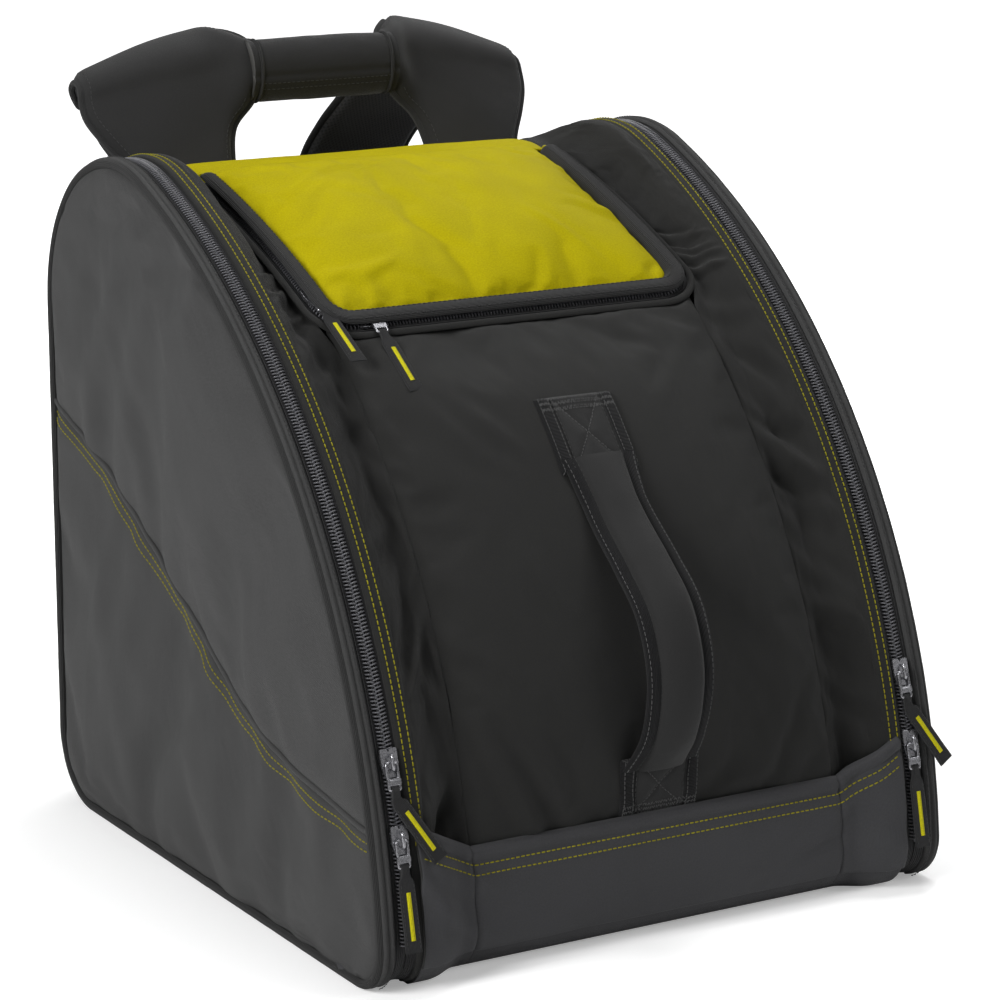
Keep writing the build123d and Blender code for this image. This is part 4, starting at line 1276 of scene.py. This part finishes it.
def handle_section(v):
    """Half thickness of the handle at v mm from its middle: a pad between two edge tapes."""
    a = np.abs(v)
    pad_edge = HANDLE_HALF - EDGE_TAPE
    crown = np.sqrt(np.clip(1 - (a / pad_edge) ** 2, 0, 1))
    dome = 2.4 + 4.2 * crown - 1.9 * np.exp(-(((a - pad_edge) / 1.1) ** 2))
    tape = 2.3 * np.sqrt(np.clip(1 - ((a - pad_edge - EDGE_TAPE / 2) / (EDGE_TAPE / 2)) ** 4, 0, 1)) + 0.1
    return np.where(a < pad_edge, dome, tape)


def handle_path(skin):
    ends = [front_drop(skin, np.zeros(1), np.array([z]))[0][0] for z in (256.0, 98.0)]
    ends = [e + np.array([0, -2.2, 1.2]) for e in ends]
    reach = node_box("carry_handle")[0][1] + 3.5
    middle = [(0, -168, 237), (0, -193, 217)]
    middle += [(0, reach + 14, 194), (0, reach + 2.5, 167), (0, reach + 1.5, 145)]
    return spline([ends[0], *middle, (0, reach + 8, 121), ends[1]], 96)


def make_handle(front):
    skin = Surface(front)
    centre = handle_path(skin)
    rows = len(centre)
    tangent = unit(np.gradient(centre, axis=0))
    x = np.array([1.0, 0, 0])
    normal = np.cross(tangent, x)
    normal = normal * np.sign(-normal[rows // 2, 1])
    f = np.linspace(0, 1, rows)
    free = np.clip(np.minimum(f, 1 - f) / 0.14, 0, 1) ** 0.7
    width = HANDLE_HALF * (1 + 0.07 * (1 - free) - 0.12 * free)
    twist = 0.16 * np.sin(np.pi * np.clip(f * 1.1 - 0.05, 0, 1))
    wide = unit(x + twist[:, None] * normal)
    up = np.cross(wide, tangent)
    up = up * np.sign(np.sum(up * normal, 1))[:, None]

    def lay(v, w):
        """Point at v across and w above the handle's middle, for every step along it."""
        v, w = np.broadcast_arrays(np.asarray(v, float), np.asarray(w, float))
        sag = -((v / HANDLE_HALF) ** 2) * 3.5 * free[:, None]
        p = centre[:, None] + v[..., None] * (width / HANDLE_HALF)[:, None, None] * wide[:, None]
        lift = w * (0.5 + 0.5 * free[:, None]) + sag + 0.45 * folds(p, 34, 71) * free[:, None]
        return p + lift[..., None] * up[:, None]

    v = HANDLE_HALF * np.array([0, 0.16, 0.32, 0.46, 0.56, 0.61, 0.64, 0.70, 0.80, 0.90, 0.96, 1.0])
    v = np.r_[-v[::-1], v[1:]]
    v = np.r_[v, v[-2:0:-1]]
    top = np.arange(len(v)) < 23
    w = np.where(top, 1, -0.8) * handle_section(v)
    points = lay(v[None], w[None])
    n = points.shape[1]
    seam = HANDLE_HALF - EDGE_TAPE
    grooves = [lay(np.full((1, 1), c), np.full((1, 1), h))[:, 0] for c, h in ((-seam, 1.15), (seam, 1.15))]
    hems = [lay(np.full((1, 1), c), np.full((1, 1), 2.35))[:, 0] for c in (-seam - 6.6, seam + 6.6)]
    half = rows // 2
    for name, part, step in (("top", slice(0, half + 1), 1), ("low", slice(half, rows), -1)):
        pts = points[part]
        faces = [list(q) for q in grid_faces(len(pts), n, False, True)]
        round_it = running_length(points[half])
        uv = np.stack([np.repeat(np.arange(rows)[part] * 2.2, n), np.tile(round_it, len(pts))], 1)
        made = make_object(f"carry_handle_{name}", pts.reshape(-1, 3), faces, uv, STRETCH)
        column_v = np.abs((v + np.roll(v, -1)) / 2)
        second_material(made, HEM, np.tile(column_v > seam, len(pts) - 1))
        smooth_sub(made, 1)
        first = 0 if step == 1 else rows - 1
        start, end = centre[first + 4 * step], centre[first + 22 * step]
        blended(made, "bag", "carry_handle", start, end, "carry_handle", slot="harness_fabric")
        for key, lines, thread, size in (("groove", grooves, DARK, 0.34), ("hem", hems, PALE, 0.28)):
            verts, faces = stitch_rows([(line[part], up[part]) for line in lines], 2.3, 0.9, size)
            sewn = make_object(f"carry_handle_{name}_{key}_stitches", verts, faces, verts[:, :2], thread)
            blended(sewn, "bag", "carry_handle", start, end)
    make_handle_patches(skin)


def make_handle_patches(skin):
    """The handle's two sewn-down ends: edge tapes on both sides and a boxed cross in the middle."""
    pads, pale, dark = [], [], []
    seam = PATCH_HALF - EDGE_TAPE
    for k, (z0, z1) in enumerate(PATCH_SPANS):
        xs = np.linspace(-PATCH_HALF, PATCH_HALF, 61)
        zs = np.linspace(z0, z1, 40)
        p, m = front_drop(skin, xs[:, None] + 0 * zs[None], zs[None] + 0 * xs[:, None])
        a = np.abs(xs)[:, None]
        far = np.abs(zs - (z0 if k == 0 else z1))[None]
        round_off = 1 - np.exp(-edge_distance(p) / 0.9)
        tape = 2.6 - 0.5 * np.abs((a - seam - EDGE_TAPE / 2) / (EDGE_TAPE / 2)) ** 3
        u, w = xs[:, None] / seam, (2 * zs[None] - z0 - z1) / (z1 - z0)
        cross = np.minimum(np.abs(u - w), np.abs(u + w)) * 12
        quilt = 1.0 + 1.5 * (1 - np.exp(-cross / 2.2)) * (1 - np.exp(-(seam - a).clip(0) / 2.0))
        h = np.where(a > seam, tape, quilt) - 0.7 * np.exp(-(((a - seam) / 0.8) ** 2))
        h = h + 2.2 * np.exp(-far / 7.0) * np.clip((PATCH_HALF - a) / 4, 0, 1)
        h = (h + 0.3 * folds(p, 14, 80 + k)) * round_off
        pad = grid("patch", p + m * h[..., None], STRETCH, (0, -1, 0.4))
        centre_x = (a[:-1] + a[1:]) / 2
        second_material(pad, HEM, np.repeat(centre_x > seam, len(zs) - 1, 1))
        pads.append(freeze(thicken(smooth_sub(pad, 1), 1.6)))
        q = p + m * (h + 0.1)[..., None]

        def line(points, zigzag=0.0):
            """Row of sewing through (x share, z share) corners of the patch."""
            cells = resample(np.array(points, float) * [60, 39], 0.8)
            swing = zigzag * np.where(np.arange(len(cells)) % 2, 1, -1)
            i = np.clip(cells[:, 0], 0, 60)
            j = np.clip(cells[:, 1] + swing, 0, 39)
            at = [np.round(i).astype(int), np.floor(j).astype(int)]
            share = (j - np.floor(j))[:, None]
            upper = np.minimum(at[1] + 1, 39)
            return q[at[0], at[1]] * (1 - share) + q[at[0], upper] * share, m[at[0], at[1]]

        s0 = (PATCH_HALF - seam + 1.5) / (2 * PATCH_HALF)
        pale += [line([(s0, 0.06), (1 - s0, 0.94)]), line([(s0, 0.94), (1 - s0, 0.06)])]
        sewn_edge, bar_edge = (0.97, 0.02) if k == 0 else (0.03, 0.98)
        inward = -0.075 if k == 0 else 0.075
        for step in range(3):
            pale.append(line([(0.03, sewn_edge + step * inward), (0.97, sewn_edge + step * inward)], 0.9))
        pale.append(line([(0.02, bar_edge), (0.98, bar_edge)], 0.8))
        for share in (0.035, s0 - 0.045, 1 - s0 + 0.045, 0.965):
            pale.append(line([(share, 0.03), (share, 0.97)]))
        for share in (s0 - 0.01, 1 - s0 + 0.01):
            dark.append(line([(share, 0.03), (share, 0.97)]))
    place(join("handle_patch_cloth", pads), "bag", "handle_patches", slot="harness_fabric")
    stitches("handle_patch_stitches", pale, PALE, "bag", length=2.0, gap=0.6, radius=0.27)
    stitches("handle_patch_seams", dark, DARK, "bag", length=2.2, gap=0.9, radius=0.3)


# ---------------------------------------------------------------- harness


def pad(name, points, half, material, rounding=9.0, outward=(0, 1, 0)):
    """Closed padded shape over a grid: full thickness inside, rounded off towards its edges."""
    d = np.clip(edge_distance(points) / rounding, 0, 1)
    h = half * np.sqrt(np.clip(1 - (1 - d) ** 2, 0, 1)) + 0.25
    return shell_over(name, points, h, material, None, outward, len(points) // 2)


SEAM_Y, SEAM_Z = joint_at("yoke_fold")[1:]
FOLD_Y, FOLD_Z = joint_at("left_strap_fold")[1:]
LEAN = (FOLD_Y - SEAM_Y) / (FOLD_Z - SEAM_Z)
GRAB_LOW, GRAB_HIGH = node_box("grab_handle")
GRAB_C = (GRAB_LOW + GRAB_HIGH) / 2
GRAB_END = GRAB_HIGH[0]


def wing_row(inner, outer, z_in, z_out, bow=0.0):
    """Row across the wing's front: the outer end curls back round the shoulder."""
    mid_x, mid_z = (inner + outer) / 2, (z_in + z_out) / 2 + bow
    row = []
    for x, z in ((inner, z_in), (mid_x, mid_z), (outer, z_out)):
        curl = max(x - 100.0, 0) ** 2 * 0.0042
        row.append((x, SEAM_Y + LEAN * (z - SEAM_Z) - 3 + curl, z))
    return row


def shoulder_rows():
    """Rows from the foot of the wing, over the crest and down the strap: inner, middle and outer points."""
    rows = [
        wing_row(71, 134, 389, 389),
        wing_row(70, 141, 404, 404),
        wing_row(65, 150, 421, 417),
        wing_row(50, 157, 438, 430, 1),
        wing_row(46, 158, 457, 440, 1),
        wing_row(47, 157, 472, 448, 3),
    ]
    rows.append([(61, 224, 478), (104, 227, 469), (155, 230, 451)])
    rows.append([(66, 236, 472), (104, 238, 463), (153, 239, 445)])
    rows.append([(61, 248, 455), (100, 252, 448), (145, 247, 434)])
    heights = np.array([430, 408, 385, 350, 310, 270, 230, 190, 143])
    depth = np.interp(heights, [141, 190, 270, 350, 408, 447], [248, 262, 275, 281, 273, 252])
    inner = np.interp(heights, [130, 180, 250, 330, 385, 430], [100, 66, 37, 25, 28, 52])
    outer = np.interp(heights, [130, 180, 250, 330, 385, 430], [136, 131, 110, 98, 104, 134])
    for a, b, y, z in zip(inner, outer, depth, heights):
        rows.append([(a, y - 1, z), ((a + b) / 2, y + 1.5, z), (b, y - 1, z)])
    return np.array(rows, float)


def make_shoulder(side):
    """One wing of the yoke and its strap: a single padded piece folded over the crest."""
    name = "right" if side > 0 else "left"
    across, rows = 30, shoulder_rows() * [side, 1, 1]
    keys = np.array([spline(row, across) for row in rows])
    points = np.stack([spline(keys[:, i], 150) for i in range(across)], 1)
    x, z = np.abs(points[..., 0]), points[..., 2]
    on_wing = np.clip((236 - points[..., 1]) / 14, 0, 1)
    neck = np.exp(-(((x - GRAB_END) / 15.0) ** 2)) * on_wing * np.exp(-(((z - GRAB_C[2]) / 26.0) ** 4))
    points[..., 1] -= 7.0 * neck
    points[..., 1] += 0.9 * folds(points, 80, 91 + side) * np.clip(edge_distance(points) / 12, 0, 1)
    border = np.vstack([points[0], points[-1], points[:, 0], points[:, -1]])
    border = border[~beside_sleeve(border)]
    d = np.linalg.norm(points[:, :, None] - border[None, None], axis=3).min(2)
    half = 5.2 + 5.5 * neck
    reach = 9.0 + 7.0 * neck
    h = half * np.sqrt(np.clip(1 - (1 - np.clip(d / reach, 0, 1)) ** 2, 0, 1)) + 0.3
    made = shell_over(f"{name}_shoulder_harness", points, h, STRETCH, MESH, (0, -1, 0.4), 20)
    start = np.array([side * 100.0, 214.0, 440.0])
    end = start + np.array([0, 36.6, -3.7])
    bodies = ("yoke", f"{name}_strap")
    nodes = (f"{name}_yoke_wing", f"{name}_shoulder_pad")
    skin = Surface(made)
    blended(made, *bodies, start, end, *nodes, slot="strap_fabric")
    neck_rows = beside_sleeve(points[:, 0])
    before, after = int(np.argmax(neck_rows)) + 1, len(points) - int(np.argmax(neck_rows[::-1])) - 1
    edges = {
        "outer": (slice(None), -1),
        "inner": (slice(0, before), 0),
        "strap_inner": (slice(after, None), 0),
    }
    away = grid_normals(points)
    away = away * np.sign(-away[20, across // 2, 1])
    rows = []
    for key, (part, edge) in edges.items():
        line = points[part, edge]
        inner_way = unit(points[part, across // 2] - line)
        bind = tube(f"{name}_{key}_binding", line, 2.4, BINDING, 10, flat=0.85)
        blended(bind, *bodies, start, end)
        path, n = skin.along(line + inner_way * 5.6, away[part, -4 if key == "outer" else 3], 14.0)
        rows.append((path[2:-2], n[2:-2]))
    verts, faces = stitch_rows(rows, 2.4, 0.9, 0.27)
    sewn = make_object(f"{name}_shoulder_stitches", verts, faces, verts[:, :2], DARK)
    blended(sewn, *bodies, start, end)


def beside_sleeve(line):
    """Which points of an edge are sewn into the grab handle's sleeve."""
    level = np.abs(line[:, 2] - GRAB_C[2]) < 15
    return level & (np.abs(line[:, 0]) < GRAB_END + 6) & (line[:, 1] < 225)


def shell_over(name, points, h, material, back, outward, probe):
    """Closed padded shape: a sheet with its own half thickness at every point and a second cloth behind."""
    nu, nv = points.shape[:2]
    n = grid_normals(points)
    flip = n[probe, nv // 2] @ np.asarray(outward, float) < 0
    n = -n if flip else n
    off = n * h[..., None]
    verts = np.vstack([(points + off).reshape(-1, 3), (points - off).reshape(-1, 3)])
    f = grid_faces(nu, nv)
    f = f[:, ::-1] if flip else f
    loop = [i * nv for i in range(nu)] + [(nu - 1) * nv + j for j in range(1, nv)]
    loop += [i * nv + nv - 1 for i in range(nu - 2, -1, -1)] + list(range(nv - 2, 0, -1))
    k = nu * nv
    side = [[a, b, b + k, a + k] for a, b in zip(loop, loop[1:] + loop[:1])]
    side = [q[::-1] for q in side] if flip else side
    faces = [list(q) for q in f] + [list(q[::-1] + k) for q in f] + side
    uv = np.vstack([grid_lengths(points).reshape(-1, 2)] * 2)
    made = make_object(name, verts, faces, uv, material)
    if back:
        second_material(made, back, [0] * len(f) + [1] * len(f) + [0] * len(side))
    return smooth_sub(made, 1)


def sleeve_ring(a, swell=1.0):
    """Side-view point on the grab handle's sleeve at angle a, a slightly flattened round."""
    return GRAB_C[1] + 4.5 + 13.6 * swell * np.cos(a), GRAB_C[2] - 2.0 + 19.6 * swell * np.sin(a)


def make_grab_handle():
    x = np.linspace(-GRAB_END - 5.0, GRAB_END + 5.0, 60)
    a = np.linspace(0, 2 * math.pi, 56, endpoint=False)
    f = np.abs(x / GRAB_END)
    swell = 1.0 - 0.07 * np.exp(-(((f - 1.0) / 0.03) ** 2)) + 0.03 * np.cos(f * 1.5)
    round_at = spread(x[:, None], 16 * np.cos(a)[None], 16 * np.sin(a)[None])
    swell = swell[:, None] + 0.035 * folds(round_at, 34, 101, (0.5, 1, 1))
    seam = math.radians(188)
    groove, lip = np.exp(-(((a - seam) * 16) ** 2)), np.exp(-(((a - seam - 0.13) * 16 / 1.6) ** 2))
    swell = swell - 0.075 * groove + 0.05 * lip
    y, z = sleeve_ring(a[None], swell)
    points = np.stack([np.repeat(x[:, None], len(a), 1), y, z], -1)
    uv = np.stack([np.repeat(x, len(a)), np.tile(a * 16, len(x))], 1)
    faces = capped_faces(len(x), len(a))
    made = make_object("grab_handle_sleeve", points.reshape(-1, 3), faces, uv, STRETCH)
    place(smooth_sub(made, 1), "yoke", "grab_handle", slot="harness_fabric")
    rings = []
    for end in (-1, 1):
        y, z = sleeve_ring(a, 0.99)
        ring = np.stack([np.full(len(a), end * (GRAB_END - 0.5)), y, z], 1)
        rings.append(tube("ring", ring, 1.1, BINDING, 8, True))
    place(join("grab_handle_seams", rings), "yoke", slot="harness_fabric")
    line_x = x[3:-3]
    rows = []
    for angle in (seam + 0.2, seam + 0.42):
        y, z = sleeve_ring(angle, 1.06)
        line = np.stack([line_x, 0 * line_x + y, 0 * line_x + z], 1)
        away = [0, math.cos(angle), math.sin(angle)]
        rows.append(Surface(made).along(line, away, 10.0))
    stitches("grab_handle_stitches", rows, DARK, "yoke", length=2.4, gap=0.9, radius=0.28)


def ribbon(name, path, wide, width, thick):
    """Webbing: a flat strip with rounded edges, its width along a fixed direction."""
    path = np.asarray(path, float)
    tangent = unit(np.gradient(path, axis=0))
    wide = unit(wide)
    normal = np.cross(tangent, wide)
    a = np.linspace(0, 2 * math.pi, 16, endpoint=False)
    y = width / 2 * np.sign(np.cos(a)) * np.abs(np.cos(a)) ** 0.25
    w = thick / 2 * np.sign(np.sin(a)) * np.abs(np.sin(a)) ** 0.5
    points = path[:, None] + y[None, :, None] * wide + w[None, :, None] * normal[:, None]
    uv = np.stack([np.tile(y, len(path)), np.repeat(running_length(path), 16)], 1)
    return make_object(name, points.reshape(-1, 3), capped_faces(len(path), 16), uv, WEBBING)


STRAP_X = 118.0  # middle of a strap's lower end


def make_strap_end(side):
    """The strap's ladder lock, the webbing that hangs from it and the link down to the base."""
    name = "right" if side > 0 else "left"
    pin = np.array([side * STRAP_X, *joint_at(f"{name}_webbing_swing")[1:]])
    bar = pin + [0, FOLD_Y - SEAM_Y, FOLD_Z - SEAM_Z]
    x, z = np.array([1.0, 0, 0]), np.array([0, 0, 1.0])

    def hang(*steps):
        """Path of (y, z) steps from the ladder lock's bar."""
        return [bar + [0, y, z] for y, z in steps]

    frame_path = rounded([(-15.2, -1.5), (15.2, -1.5), (15.2, 12.4), (-15.2, 12.4)], 2.5, 6)
    bend = [bar + a * x + b * z for a, b in frame_path[12:]]
    parts = [tube("loop", bend, 1.9, PLASTIC, 10, flat=1.0)]
    for height, r in ((0.0, 1.6), (5.75, 1.4), (12.4, 1.9)):
        rod = [bar + a * x + height * z for a in np.linspace(-15.2, 15.2, 12)]
        parts.append(tube("rod", rod, r, PLASTIC, 10))
    for edge in (-1, 1):
        leg = [bar + edge * 15.2 * x + b * z for b in np.linspace(-1.6, 12.6, 8)]
        parts.append(tube("leg", leg, 1.9, PLASTIC, 10))
    lock = join(f"{name}_ladder_lock_frame", parts)
    place(lock, f"{name}_strap", f"{name}_ladder_lock", slot="buckle")
    stub = ribbon(f"{name}_strap_stub", hang((2.4, 12.4), (3.2, 22), (3.4, 34)), x, 25, 1.8)
    place(stub, f"{name}_strap", slot="webbing")
    tail = spline(hang((5.9, 10), (6.1, 2), (6.3, -20), (6.0, -44), (5.9, -65.5)), 40)
    tail = ribbon(f"{name}_webbing_tail_strip", tail, x, 25, 1.8)
    place(tail, f"{name}_strap", f"{name}_webbing_tail", slot="webbing")
    aim = unit(bar - pin)
    turn = np.cross(aim, x)
    angles = np.linspace(0.35, 2 * math.pi - 0.35, 20)
    loop = [bar + 2.8 * (math.cos(a) * -aim + math.sin(a) * turn) for a in angles]
    link = [pin + aim * d for d in np.linspace(2, np.linalg.norm(bar - pin) - 4.5, 24)]
    parts = [ribbon("link", link, x, 25, 1.8), ribbon("loop", loop, x, 25, 1.6)]
    strip = join(f"{name}_webbing_link_strip", parts)
    place(strip, f"{name}_webbing", f"{name}_webbing_link", slot="webbing")


def make_anchors():
    parts, rows = [], []
    low, high = node_box("strap_anchors")
    y = low[1] + 1.3
    for side in (-1, 1):
        x = side * STRAP_X
        foot = [(x - 24, y, low[2]), (x + 24, y, low[2])]
        head = [(x - 13, y, high[2]), (x + 13, y, high[2])]
        edges = (foot, 20), (head, 20), ([foot[0], head[0]], 12), ([foot[1], head[1]], 12)
        points = coons(*(spline(pair, n) for pair, n in edges))
        parts.append(pad("anchor", points, 1.5, BINDING, rounding=2.0))
        line = points[2:-2, 2:-2]
        loop = resample(np.vstack([line[:, 0], line[-1], line[::-1, -1], line[0, ::-1]]), 2.0)
        rows.append((loop + [0, 1.75, 0], np.tile([0, 1.0, 0], (len(loop), 1))))
    tabs = join("strap_anchor_tabs", [freeze(part) for part in parts])
    place(tabs, "bag", "strap_anchors", slot="webbing")
    stitches("strap_anchor_stitches", rows, DARK, "bag", length=2.2, gap=0.9, radius=0.3)


# ---------------------------------------------------------------- inside


def make_dividers():
    for side, name in ((-1, "left"), (1, "right")):
        z = np.linspace(8, 392, 60)
        x = side * np.interp(z, [6, 331, 412], [77.5, 81.5, 110.5])
        arc = FRONT_C[0] - np.sqrt((FRONT_R - SET_BACK - 8) ** 2 - (z - FRONT_C[1]) ** 2)
        lid = LID_C[0] - np.sqrt((LID_R - 6) ** 2 - (z - LID_C[1]) ** 2)
        start = np.maximum(arc, lid)[:, None]
        y = start + (183 - start) * np.linspace(0, 1, 50)[None]
        flare = side * 17.0 * np.exp(-(y - start) / 16.0) * np.clip((z[:, None] - 335) / 12, 0, 1)
        points = spread(x[:, None] + flare, y, z[:, None])
        points = points + np.array([1.0, 0, 0]) * (0.8 * folds(points, 120, 111 + side))[..., None]
        made = pad(f"{name}_divider_pad", points, 2.3, LINING, rounding=5.0, outward=(side, 0, 0))
        place(made, "bag", f"{name}_divider", slot="lining_fabric")


def make_back_padding():
    """One quilted pad for the foam, the board and the lining of the back."""
    low, high = node_box("back_lining")
    y0, y1 = high[1] - 0.6, node_box("back_foam")[1][1]
    x = np.linspace(low[0], high[0], 60)[:, None]
    z = np.linspace(low[2], high[2], 50)[None]
    quilt = 0.8 * np.abs(np.sin(x / 37 * math.pi)) * np.abs(np.sin((z - low[2]) / 40 * math.pi))
    points = spread(x, (y0 + y1) / 2 - quilt, z)
    made = pad("back_padding", points, (y1 - y0) / 2 - 0.2, LINING, rounding=8.0, outward=(0, -1, 0))
    place(made, "bag", "back_foam", "back_board", "back_lining", slot="lining_fabric")


def make_base_stiffener():
    low, high = node_box("base_board")
    x = np.linspace(low[0], high[0], 40)[:, None]
    y = np.linspace(low[1], high[1], 40)[None]
    points = spread(x, y, (low[2] + high[2]) / 2)
    made = pad("base_stiffener", points, 1.0, BOARD, rounding=1.5, outward=(0, 0, 1))
    place(made, "bag", "base_board", slot="board")


# ---------------------------------------------------------------- stage


def make_floor():
    """A pale floor that glows white away from the bag, for the camera only."""
    reach = 9e3
    corners = [(-reach, -reach, 0), (reach, -reach, 0), (reach, reach, 0), (-reach, reach, 0)]
    floor = make_object("floor", corners, [[0, 1, 2, 3]])
    material, tree, shader = new_material("studio_floor")
    shader.inputs["Base Color"].default_value = (0.9, 0.9, 0.9, 1)
    shader.inputs["Roughness"].default_value = 0.8
    place_at = node(tree, "ShaderNodeNewGeometry").outputs["Position"]
    away = node(tree, "ShaderNodeVectorMath", {0: place_at}, operation="LENGTH").outputs["Value"]
    far = node(tree, "ShaderNodeMapRange", {0: away, 1: 0.35, 2: 1.2, 3: 0.3, 4: 1.0}).outputs[0]
    seen = node(tree, "ShaderNodeLightPath").outputs["Is Camera Ray"]
    tree.links.new(math_node(tree, "MULTIPLY", far, seen), shader.inputs["Emission Strength"])
    shader.inputs["Emission Color"].default_value = (1, 1, 1, 1)
    floor.data.materials.append(material)


def make_world():
    """Faint light from all round, seen by the camera as white."""
    bpy.context.scene.view_settings.view_transform = "Standard"
    world = bpy.data.worlds.new("studio")
    world.use_nodes = True
    tree = world.node_tree
    seen = node(tree, "ShaderNodeLightPath").outputs["Is Camera Ray"]
    tree.links.new(weighted(tree, 0.15, (seen, 0.85)), tree.nodes["Background"].inputs["Strength"])
    tree.nodes["Background"].inputs["Color"].default_value = (1, 1, 1, 1)
    bpy.context.scene.world = world


def aimed(name, data, where, aim):
    """Lamp or camera at one place, looking at another."""
    made = bpy.data.objects.new(name, data)
    bpy.context.scene.collection.objects.link(made)
    made.location = Vector(where) * MM
    made.rotation_mode = "QUATERNION"
    made.rotation_quaternion = (Vector(aim) - Vector(where)).to_track_quat("-Z", "Y")
    return made


def make_lamps():
    for name, where, aim, size, power in (
        ("key", (-2300, -600, 1500), (0, 0, 200), 1.2, 66),
        ("front", (1500, -1900, 1500), (0, 0, 200), 1.0, 15),
        ("top", (300, 300, 2300), (0, 0, 300), 1.2, 29),
        ("rim", (1700, 1300, 1500), (0, 0, 250), 1.2, 14),
    ):
        data = bpy.data.lights.new(name, "AREA")
        data.shape, data.size, data.energy = "DISK", size, power
        aimed(name, data, where, aim)


def make_camera():
    data = bpy.data.cameras.new("camera")
    data.lens, data.sensor_width = 128.4, 36.0
    data.clip_end = 100
    bpy.context.scene.camera = aimed("camera", data, (-1059.1, -1820.8, 720.6), (17.5, 0, 209.5))


front_panel = make_front_panel()
for side in (-1, 1):
    make_gusset(side)
base_parts = make_base()
make_rear_panels()
make_lid()
make_door_zips()
make_lid_zip()
for side in (-1, 1):
    make_door(side)
base_stitches(base_parts[0])
for pull in ("left_upper", "left_lower", "right_upper", "right_lower", "lid_side", "lid_front"):
    make_pull(pull)
make_handle(front_panel)
make_grab_handle()
for side in (-1, 1):
    make_shoulder(side)
    make_strap_end(side)
make_anchors()
make_dividers()
make_back_padding()
make_base_stiffener()
make_floor()
make_world()
make_lamps()
make_camera()
bpy.context.view_layer.update()
